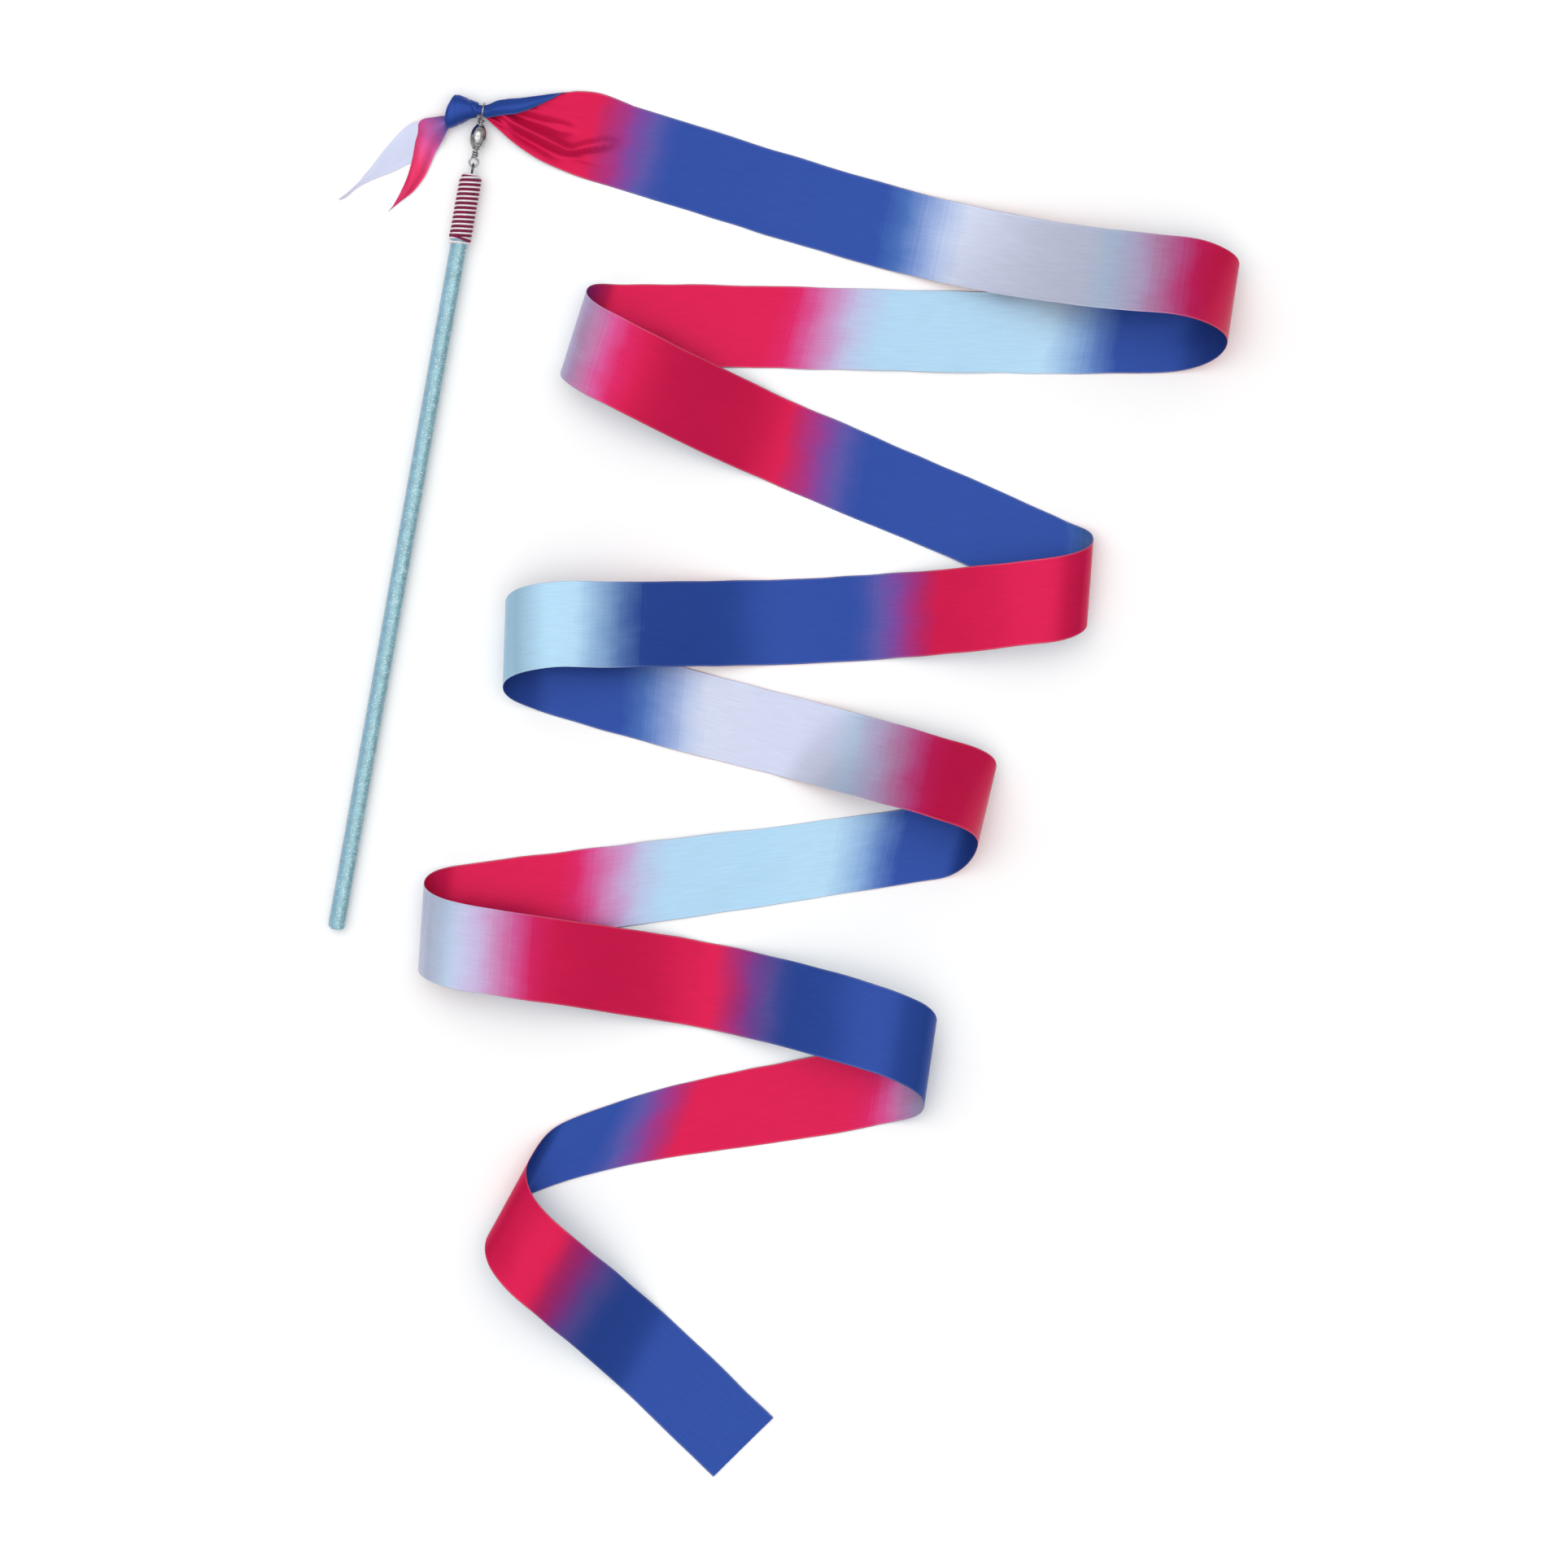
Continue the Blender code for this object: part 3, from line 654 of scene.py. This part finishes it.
def knotMesh():
    mesh = bmesh.new()
    alongLayer = mesh.verts.layers.float.new("alongRibbon")
    acrossLayer = mesh.verts.layers.float.new("acrossRibbon")
    sides = 72
    rings, alongs = [], []
    for at, upper, lower, half in throughRows(knotRows, 5):
        middle, reach = (upper + lower) / 2, (upper - lower) / 2
        ring = []
        for k in range(sides):
            angle = 2 * math.pi * k / sides
            # Two turns of the band cross it, each with a groove along its edge
            turned = at + 2.6 * math.cos(angle) - 1.6 * math.sin(angle)
            groove = math.exp(-((turned + 6.6) / 0.55) ** 2)
            second = math.exp(-((turned + 0.42 * at + 21.0) / 0.8) ** 2)
            wrap = 1.0 - 0.085 * groove - 0.05 * second * smooth((-at - 7) / 3)
            wrap += 0.03 * noise.noise(Vector((at / 4.5, math.cos(angle) * 1.6,
                                               math.sin(angle) * 1.6)))
            # The band leans, so its turns run at a slant to the neck
            slant = 2.2 * math.sin(angle) * smooth((-at - 4) / 8) * smooth((22.0 + at) / 3)
            lateral = middle + reach * wrap * squared(math.cos(angle), 0.86)
            height = half * wrap * squared(math.sin(angle), 0.9)
            point = wand.neck + wand.aside * (at - slant) + wand.level * lateral
            point.z = max(wand.neck.z + height, 0.25)
            ring.append(point)
        rings.append(ring)
        alongs.append(3.3 * at)
    made = skinRings(mesh, rings)
    for ring, along in zip(made, alongs):
        for vert in ring:
            vert[alongLayer] = along
            vert[acrossLayer] = 0.5
    bmesh.ops.recalc_face_normals(mesh, faces=mesh.faces)
    return mesh


knot = makePiece("ribbonKnot", knotMesh(), [satinBack], "ribbon",
                 ["ribbon_knot"], 70)

# Swallowtail: the cut end, half of it turned under along a crease

# Points in mm from the neck, in the frame's own X and Y
tailCrease = [(-20.5, -2.6), (-27.0, -3.4), (-37.2, -5.4)]
tailUpperTip = (-86.4, -52.6)
tailLowerTip = (-56.8, -59.6)
tailUpperCut = [(-45.4, -8.6), (-55.3, -18.4), (-74.0, -41.6)]
tailLowerCut = [(-39.7, -13.7), (-42.8, -30.6), (-46.6, -42.2), (-52.9, -54.6)]
tailUpperSelvage = [(-20.5, -9.6), (-33.0, -24.0), (-48.7, -33.4), (-57.0, -37.2), (-66.2, -40.6),
                    (-74.6, -45.0), (-81.8, -51.0)]
tailLowerSelvage = [(-20.3, -9.9), (-24.0, -17.2), (-28.6, -24.9), (-31.9, -32.6),
                    (-35.2, -39.2), (-41.7, -47.6), (-49.4, -53.6)]
prongSteps, prongCount = 44, 14   # rings along a prong, and spaces across it
tailThickness, tailEdge = 0.24, 0.12   # the cloth, and what its edges add


def curveThrough(points, count):
    # Even steps by length along a smooth curve through the points
    fine = [Vector(p) for p in throughRows(points, 16)]
    lengths = [0.0]
    for a, b in zip(fine, fine[1:]):
        lengths.append(lengths[-1] + (b - a).length)
    made, at = [], 0
    for i in range(count + 1):
        wanted = lengths[-1] * i / count
        while at < len(fine) - 2 and lengths[at + 1] < wanted:
            at += 1
        part = (wanted - lengths[at]) / max(lengths[at + 1] - lengths[at], 1e-9)
        made.append(fine[at].lerp(fine[at + 1], min(part, 1.0)))
    return made


def prongRings(inner, selvage, tip, onTop):
    # Rings from the knot to the tip, between the crease or cut and the selvage
    innerLine = curveThrough(tailCrease + inner + [tip], prongSteps)
    outerLine = curveThrough(selvage + [tip], prongSteps)
    rings = []
    for i, (a, b) in enumerate(zip(innerLine, outerLine)):
        ring = []
        for k in range(prongCount + 1):
            share = k / prongCount
            spot = a.lerp(b, share) + Vector((wand.neck.x, wand.neck.y))
            toKnot = 1 - smooth(i / prongSteps / 0.42)
            height = 0.35 + 4.6 * toKnot ** 1.5
            if onTop:
                arch = math.sin(math.pi * min(share * 1.1, 1.0))
                height += 0.9 + 2.4 * arch * (1 - smooth((i / prongSteps - 0.15) / 0.85))
                height -= 0.5 * smooth((i / prongSteps - 0.6) / 0.4)
            else:
                height += 0.5 * math.sin(math.pi * share) * (1 - i / prongSteps)
            height += 0.35 * noise.noise(Vector((i / 7.0, share * 2.0, 2.0 + onTop)))
            ring.append(Vector((spot.x, spot.y, max(height, 0.2))))
        rings.append(ring)
    return rings


def prongMesh(rings, flip, start, step):
    shares = [0.5 + 0.5 * k / (len(rings[0]) - 1) for k in range(len(rings[0]))]
    alongs = [start - step * i for i in range(len(rings))]
    # The last ring is a point, so it is opened by a hair
    rings[-1] = [point.lerp(rings[-2][k], 0.15) for k, point in enumerate(rings[-1])]
    mesh = clothMesh(rings, alongs, shares, tailThickness, tailEdge)
    if flip:
        for face in mesh.faces:
            face.material_index = 1 - face.material_index
    bmesh.ops.recalc_face_normals(mesh, faces=mesh.faces)
    return mesh


# The dye starts at so many mm along the ribbon, and each ring is a step further
upperProng = prongRings(tailUpperCut, tailUpperSelvage, tailUpperTip, False)
lowerProng = prongRings(tailLowerCut, tailLowerSelvage, tailLowerTip, True)
tailUpper = makePiece("ribbonTailUpper", prongMesh(upperProng, True, -112.0, 1.2),
                      [satinFront, satinBack], "ribbon", ["ribbon_tail"], 80)
tailLower = makePiece("ribbonTailLower", prongMesh(lowerProng, False, -76.0, 1.15),
                      [satinFront, satinCutEnd], "ribbon", [], 80)
print("knot and swallowtail are tied")

# Rod: clear acrylic cast round silver glitter

rodSize = {
    "radius": 5.1,
    "length": 456.0,
    "top": -0.9,
    "buttFillet": 3.4,
    "tipChamfer": 1.2,
    "ragged": 1.111,        # the size of the nicks in a flake's outline, in mm
    "stream": 4.762,        # how wide the flakes gather in streams, in mm
    "glitter": 0.70,        # mm across a flake
    # The acrylic's teal across the rod, with painted shade towards the outlines and a painted
    # highlight stripe a little past the middle
    "tints": ((0.0, "6E97A8"), (0.06, "7FA9BB"), (0.15, "82AAC3"), (0.35, "82B0C0"),
              (0.5, "88B8C5"), (0.62, "92C3CD"), (0.76, "7CA8B4"), (0.92, "769CA8"),
              (1.0, "9CC0CB")),
    "flake": "E8FCFD",
}


def glitterAcrylic():
    # Clear acrylic over silver flakes: a wet gloss over points of light at all angles
    material, tree, shader = newMaterial("glitterAcrylic")
    place = addNode(tree, "ShaderNodeTexCoord").outputs["Object"]
    # Wandering the lookup makes the flakes ragged and lets them gather in streams
    wander = addNode(tree, "ShaderNodeTexNoise",
                     {"Vector": place, "Scale": perMetre(rodSize["ragged"]), "Detail": 2.0})
    looked = addNode(tree, "ShaderNodeVectorMath",
                     {0: wander.outputs["Color"], 1: (0.0006, 0.0006, 0.0006), 2: place},
                     operation="MULTIPLY_ADD")
    cells = addNode(tree, "ShaderNodeTexVoronoi",
                    {"Vector": looked.outputs[0], "Scale": perMetre(rodSize["glitter"])})
    random = addNode(tree, "ShaderNodeSeparateColor", {"Color": cells.outputs["Color"]})
    # Side to side through the rod: painted shade and a painted highlight over the acrylic's own
    # teal, darker towards the outlines, with a bright stripe a little past the middle
    side = addNode(tree, "ShaderNodeVectorMath", {0: place, 1: wand.aside},
                   operation="DOT_PRODUCT")
    middle, reach = wand.top.dot(wand.aside), rodSize["radius"]
    sideways = addNode(tree, "ShaderNodeMapRange",
                       {"Value": side.outputs["Value"],
                        "From Min": (middle - reach) * millimetre,
                        "From Max": (middle + reach) * millimetre})
    stream = addNode(tree, "ShaderNodeTexNoise",
                     {"Vector": place, "Scale": perMetre(rodSize["stream"]), "Detail": 2.0})
    # More flakes in a band a little past the middle, as part of the painted highlight stripe
    crowd = addNode(tree, "ShaderNodeValToRGB", {"Fac": sideways.outputs[0]})
    setRamp(crowd, ((0.0, "606060"), (0.3, "808080"), (0.5, "E0E0E0"), (0.7, "FFFFFF"),
                    (0.85, "C0C0C0"), (1.0, "909090")))
    crowded = addNode(tree, "ShaderNodeMath",
                      {0: crowd.outputs["Color"], 1: stream.outputs["Fac"]},
                      operation="MULTIPLY")
    chosen = addNode(tree, "ShaderNodeMath",
                     {0: random.outputs[0], 1: crowded.outputs[0]}, operation="LESS_THAN")
    size = addNode(tree, "ShaderNodeMapRange",
                   {"Value": cells.outputs["Distance"], "From Min": 0.30, "From Max": 0.55,
                    "To Min": 1.0, "To Max": 0.0})
    bright = addNode(tree, "ShaderNodeMath", {0: random.outputs[1], 1: 0.75, 2: 0.25},
                     operation="MULTIPLY_ADD")
    flakes = chosen
    for share in (size, bright):
        flakes = addNode(tree, "ShaderNodeMath", {0: flakes.outputs[0], 1: share.outputs[0]},
                         operation="MULTIPLY")
    # The teal with painted shade and a painted highlight stripe, by place across the rod
    tealAndShade = addNode(tree, "ShaderNodeValToRGB", {"Fac": sideways.outputs[0]})
    setRamp(tealAndShade, rodSize["tints"])
    cloud = addNode(tree, "ShaderNodeMapRange",
                    {"Value": stream.outputs["Fac"], **middling,
                     "To Min": 0.86, "To Max": 1.1})
    clouded = addNode(tree, "ShaderNodeVectorMath",
                      {0: tealAndShade.outputs["Color"], "Scale": cloud.outputs[0]},
                      operation="SCALE")
    colour = addNode(tree, "ShaderNodeMix",
                     {"Factor": flakes.outputs[0], 6: clouded.outputs[0],
                      7: hexColour(rodSize["flake"])}, data_type="RGBA")
    bump = addNode(tree, "ShaderNodeBump",
                   {"Height": flakes.outputs[0], "Strength": 0.3, "Distance": 0.0002})
    setShader(shader, BaseColor=colour.outputs[2], Normal=bump.outputs[0], Roughness=0.3,
              IOR=1.49, SpecularIORLevel=0.3, CoatWeight=0.7, CoatRoughness=0.08,
              CoatIOR=1.49)
    return material


def turnedMesh(profile, sides, closed=False):
    # A round shape about the wand's line. profile: (place along, radius)
    mesh = bmesh.new()
    rings = [[Vector((radius * math.cos(a), radius * math.sin(a), along))
              for a in (2 * math.pi * k / sides for k in range(sides))]
             for along, radius in profile]
    skinRings(mesh, rings, closed)
    bmesh.ops.recalc_face_normals(mesh, faces=mesh.faces)
    return wand.put(mesh)


def rodMesh():
    butt = rodSize["top"] - rodSize["length"]
    flat = rodSize["radius"] - rodSize["buttFillet"]
    profile = [(butt, 0.001), (butt, flat * 0.5)]
    for i in range(13):
        angle = math.pi / 2 * i / 12
        profile.append((butt + rodSize["buttFillet"] * (1 - math.cos(angle)),
                        flat + rodSize["buttFillet"] * math.sin(angle)))
    steps = 40
    start, end = profile[-1][0], rodSize["top"] - rodSize["tipChamfer"]
    for i in range(1, steps + 1):
        profile.append((start + (end - start) * i / steps, rodSize["radius"]))
    profile += [(rodSize["top"], rodSize["radius"] - rodSize["tipChamfer"]),
                (rodSize["top"], 1.2)]
    return turnedMesh(profile, 64)


makePiece("glitterRod", rodMesh(), [glitterAcrylic()], "wand", ["rod"])
print("rod is cast")

# Metal: the eye, the swivel and its loops. Lengths in mm.

wireSize = {
    "radius": 0.65,
    "loose": 0.3,
    "smallLoop": 2.6,
    "neckLoop": 4.4,
    "eyeMiddle": 3.35,
    "coilLead": 0.8,
    "lowerTurns": 2.25,
    "upperTurns": 1.5,
    "barrelLength": 15.2,
    "barrelRadius": 5.05,
    "barrelWall": 0.9,
    "headRadius": 2.1,
    "headThickness": 1.5,
    "marks": 2.381,          # handling marks
}
coilRadius = coilPitch = 2 * wireSize["radius"] + 0.15
lowerMiddle = (wireSize["eyeMiddle"] + 2 * wireSize["smallLoop"] - 2 * wireSize["radius"]
               - wireSize["loose"])
barrelStart = (lowerMiddle + wireSize["smallLoop"] + wireSize["coilLead"]
               + wireSize["lowerTurns"] * coilPitch + wireSize["radius"] + wireSize["loose"])
barrelEnd = barrelStart + wireSize["barrelLength"]


def platedMetal(name, dull, clean, roughness, scratch):
    # Plated or drawn metal: a mirror for the soft light above and the dim walls, broken up by
    # handling marks that are both duller and rougher
    material, tree, shader = newMaterial(name)
    place = addNode(tree, "ShaderNodeTexCoord").outputs["Object"]
    marks = addNode(tree, "ShaderNodeTexNoise",
                    {"Vector": place, "Scale": perMetre(wireSize["marks"]), "Detail": 2.0,
                     "Roughness": 0.5})
    rough = addNode(tree, "ShaderNodeMapRange",
                    {"Value": marks.outputs["Fac"], "From Min": 0.35, "From Max": 0.75,
                     "To Min": roughness, "To Max": roughness + scratch})
    colour = addNode(tree, "ShaderNodeValToRGB", {"Fac": marks.outputs["Fac"]})
    setRamp(colour, ((0.35, clean), (0.65, dull)))
    setShader(shader, BaseColor=colour.outputs["Color"], Roughness=rough.outputs[0],
              Metallic=1.0)
    return material


nickelPlate = platedMetal("nickelPlate", "919191", "BEBEBF", 0.07, 0.05)
nickelWire = platedMetal("nickelWire", "8E8F92", "ACADB0", 0.14, 0.10)
steelWire = platedMetal("steelWire", "4C545D", "6A747E", 0.2, 0.15)


def swivelLoop(start, middle, radius, turns, way, flatWay):
    # A wire from its head, down its stem, round a loop and back round the stem
    size = wireSize["radius"]
    points, radii = [], []

    def at(across, along, lift=0.0):
        return Vector((across, lift, along)) if flatWay == "X" else Vector((lift, across, along))

    def add(point, thick=size):
        points.append(point)
        radii.append(thick)

    def roundLoop(angle):
        return at(radius * math.sin(angle), middle - way * radius * math.cos(angle))

    def loopPull(angle, reach):
        return at(reach * math.cos(angle), way * reach * math.sin(angle))

    def roundStem(angle, along):
        return at(coilRadius * math.cos(angle), along, coilRadius * math.sin(angle))

    near = middle - way * radius
    coilEnd = near - way * 0.45
    thickness = wireSize["headThickness"]
    head = wireSize["headRadius"]
    for along, thick in ((0.0, head * 0.8), (0.3, head), (thickness - 0.05, head),
                         (thickness, size)):
        add(at(0, start + way * along), thick)
    add(at(0, (start + way * thickness + coilEnd) / 2))
    add(at(0, coilEnd))
    first, last = math.radians(42), math.radians(318)
    for i in range(1, 9):
        add(hermite(at(0, coilEnd), at(0, way * 2.2), roundLoop(first), loopPull(first, 2.2),
                    i / 9))
    for i in range(57):
        add(roundLoop(first + (last - first) * i / 56))
    coilAngle = math.radians(215)
    begin = roundStem(coilAngle, near - way * wireSize["coilLead"])
    pull = at(-coilRadius * math.sin(coilAngle), -way * coilPitch / (2 * math.pi),
              coilRadius * math.cos(coilAngle))
    for i in range(1, 9):
        add(hermite(roundLoop(last), loopPull(last, 1.6), begin, pull * 0.9, i / 9))
    steps = int(turns * 36)
    for i in range(steps + 1):
        add(roundStem(coilAngle + 2 * math.pi * i / 36, begin.z - way * coilPitch * i / 36))
    # The cut end of the wire is rounded over
    for share in (0.9, 0.6, 0.2):
        add(points[-1] + (points[-1] - points[-2]).normalized() * 0.14, size * share)
    return wand.put(sweep(points, radii, 20))


def barrelMesh():
    low, high = barrelStart, barrelEnd
    middle, half = (low + high) / 2, wireSize["barrelLength"] / 2
    outside = []
    for i in range(-24, 25):
        u = i / 24
        bulge = max(math.sqrt(1 - (0.93 * u) ** 2) ** 1.15, 0.50)
        outside.append((middle + half * u, wireSize["barrelRadius"] * bulge * 0.98))
    lip = 0.3
    outside = [(low, 1.3), (low, outside[0][1] - lip)] + outside[1:-1] + [
        (high, outside[-1][1] - lip), (high, 1.3)]
    inside = [(high - 1.0, 1.3), (high - 1.0, 2.4), (middle, 4.0), (low + 1.0, 2.4),
              (low + 1.0, 1.3)]
    return turnedMesh(outside + inside, 72, True)


def eyeMesh():
    radius, middle = wireSize["smallLoop"], wireSize["eyeMiddle"]
    points = [Vector((0, 0, rodSize["top"] - deep)) for deep in (20.0, 18.8, 1.0, 0.4)]
    radii = [0.35, 0.9, 0.9, wireSize["radius"]]
    for i in range(73):
        angle = math.radians(20 + 314 * i / 72)
        points.append(Vector((0, radius * math.sin(angle), middle - radius * math.cos(angle))))
        radii.append(wireSize["radius"])
    return wand.put(sweep(points, radii, 20))


lowerHead = barrelStart + wireSize["barrelWall"] + wireSize["loose"] + wireSize["headThickness"]
upperHead = barrelEnd - wireSize["barrelWall"] - wireSize["loose"] - wireSize["headThickness"]
makePiece("screwEye", eyeMesh(), [steelWire], "wand", ["screw_eye"])
makePiece("swivelBarrel", barrelMesh(), [nickelPlate], "barrel",
          ["swivel_barrel"])
makePiece(
    "swivelLoopLower",
    swivelLoop(lowerHead, lowerMiddle, wireSize["smallLoop"], wireSize["lowerTurns"], -1, "X"),
    [nickelWire], "lower_loop", ["swivel_loop_lower"])
makePiece(
    "swivelLoopUpper",
    swivelLoop(upperHead, wand.neckAlong, wireSize["neckLoop"], wireSize["upperTurns"], 1, "Y"),
    [nickelWire], "upper_loop", ["swivel_loop_upper"])
print("swivel is hung")

# Whipping: two waxed twines wound side by side

twineSize = {
    "length": 43.0,
    "turns": 14.5,
    "capTurns": 1.7,      # turns that close over the end of the rod
    "crimson": 0.62,
    "white": 0.5,
    "gap": 0.35,
    "plyPitch": 2.4,      # mm for one turn of the three plies
    "plyDepth": 0.13,
    "fibre": 0.6667,      # tufts of fibres, in mm, drawn coarser than they are
}


def twineMaterial(name, dark, light):
    # Cabled cotton twine: matt, with short fibres that break up the light
    material, tree, shader = newMaterial(name)
    place = addNode(tree, "ShaderNodeTexCoord").outputs["Object"]
    fibres = addNode(tree, "ShaderNodeTexNoise",
                     {"Vector": place, "Scale": perMetre(twineSize["fibre"]), "Detail": 2.0,
                      "Roughness": 0.6})
    colour = addNode(tree, "ShaderNodeValToRGB", {"Fac": fibres.outputs["Fac"]})
    setRamp(colour, ((0.32, dark), (0.68, light)))
    bump = addNode(tree, "ShaderNodeBump",
                   {"Height": fibres.outputs["Fac"], "Strength": 0.5, "Distance": 0.0002})
    setShader(shader, BaseColor=colour.outputs["Color"], Normal=bump.outputs[0],
              Roughness=0.75, SpecularIORLevel=0.2, SheenWeight=0.05, SheenRoughness=0.5)
    return material


def strandMesh(radius, offset, crossing):
    perTurn = 96
    middle = rodSize["radius"] + twineSize["gap"] + radius * 0.88
    pitch = (twineSize["length"] - 2 * twineSize["crimson"]) / (twineSize["turns"] + 0.5)
    total = twineSize["turns"] + twineSize["capTurns"]
    points = []
    for i in range(int(total * perTurn) + 1):
        turn = i / perTurn
        low = 1 - smooth(turn / 0.45)
        # Pulled tight, the turns lie flatter on the side they were dressed from
        wound = min(turn, twineSize["turns"] - offset)
        wound -= 0.8 * math.cos(2 * math.pi * wound) / (2 * math.pi) * smooth(wound - 0.3)
        over = max(0.0, turn - twineSize["turns"] + offset + 0.6) / (twineSize["capTurns"] + 0.6)
        bump = math.sin(math.pi * min(turn / 0.5, 1.0))
        reach = middle + crossing * 1.2 * bump - 3.9 * min(over, 1.0) ** 1.1
        reach += 0.09 * noise.noise(Vector((turn * 2.3, offset, 1.0)))
        along = (-twineSize["length"] + twineSize["crimson"] + pitch * (wound + offset)
                 + crossing * 3.0 * low + 1.5 * min(over, 1.0))
        along += 0.10 * noise.noise(Vector((turn * 1.7, 5.0, offset)))
        angle = math.pi + 2 * math.pi * turn
        points.append(Vector((reach * math.cos(angle), reach * math.sin(angle), along)))
    twist = 2 * math.pi * (2 * math.pi * middle / twineSize["plyPitch"]) / perTurn

    def plies(ring, angle):
        return 1 + twineSize["plyDepth"] * (abs(math.cos(1.5 * (angle - ring * twist))) - 0.55)

    return wand.put(sweep(points, [radius * 1.12] * len(points), 14, plies))


makePiece("whippingCrimson", strandMesh(twineSize["crimson"], 0.5, 1),
          [twineMaterial("crimsonTwine", "520A2C", "9C1850")],
          "wand", ["whipping_crimson"])
makePiece("whippingWhite", strandMesh(twineSize["white"], 0.0, 0),
          [twineMaterial("whiteTwine", "EBD9E2", "FFFAFC")],
          "wand", ["whipping_white"])
print("whipping is wound")

# Floor, light and camera

studio = {
    "floor": "FEFEFE",
    "floorReach": 12.0,
    "walls": 0.60,
    "ceiling": 2.16,
    "horizon": 0.3,          # share of the walls' light that is left low down, for the metal
    "brightest": (-0.07, 0.03, 1.0),   # direction of the middle of the soft light
    "keyPlace": (-1.6, 1.1, 2.0),
    "keySide": 2.2,
    "keyPower": 9.0,
    "cameraHeight": 5.0,
    "framedSide": 0.9338,    # what the camera frames at the table, in metres
}


def makeFloor():
    mesh = bmesh.new()
    bmesh.ops.create_grid(mesh, x_segments=2, y_segments=2, size=studio["floorReach"])
    floor = meshObject("floor", mesh)
    material, tree, shader = newMaterial("whiteCard")
    setShader(shader, BaseColor=hexColour(studio["floor"]), Roughness=0.9, SpecularIORLevel=0.1)
    floor.data.materials.append(material)


def makeKeyLight():
    light = bpy.data.lights.new("keyLight", "AREA")
    light.size = studio["keySide"]
    light.energy = studio["keyPower"]
    made = addObject("keyLight", light)
    made.location = studio["keyPlace"]
    made.rotation_euler = (-made.location).to_track_quat("-Z", "Y").to_euler()


def makeSky():
    # A broad soft light overhead that falls off to dim walls, so that slopes read, and to a
    # darker band low down that gives the metal its dark lines
    world = bpy.data.worlds.new("studioWorld")
    bpy.context.scene.world = world
    world.use_nodes = True
    tree = world.node_tree
    aim = addNode(tree, "ShaderNodeTexCoord").outputs["Generated"]
    facing = addNode(tree, "ShaderNodeVectorMath",
                     {0: aim, 1: Vector(studio["brightest"]).normalized()},
                     operation="DOT_PRODUCT")
    strength = addNode(tree, "ShaderNodeMapRange",
                       {"Value": facing.outputs["Value"], "From Min": 0.72, "From Max": 0.985,
                        "To Min": studio["walls"], "To Max": studio["ceiling"]},
                       interpolation_type="SMOOTHSTEP")
    height = addNode(tree, "ShaderNodeSeparateXYZ", {0: aim}).outputs["Z"]
    low = addNode(tree, "ShaderNodeMapRange",
                  {"Value": height, "From Min": 0.10, "From Max": 0.45,
                   "To Min": studio["horizon"], "To Max": 1.0},
                  interpolation_type="SMOOTHSTEP")
    light = addNode(tree, "ShaderNodeMath", {0: strength.outputs[0], 1: low.outputs[0]},
                    operation="MULTIPLY")
    background = tree.nodes["Background"]
    background.inputs["Color"].default_value = (1.0, 1.0, 1.0, 1.0)
    tree.links.new(light.outputs[0], background.inputs["Strength"])


makeFloor()
makeSky()
makeKeyLight()
camera = addObject("camera", bpy.data.cameras.new("camera"))
camera.location = (0.0, 0.0, studio["cameraHeight"])
camera.data.sensor_width = 36.0
camera.data.lens = 36.0 * studio["cameraHeight"] / studio["framedSide"]
camera.data.clip_end = 50.0
bpy.context.scene.camera = camera
bpy.context.scene.view_settings.view_transform = "Standard"
print("studio is set")
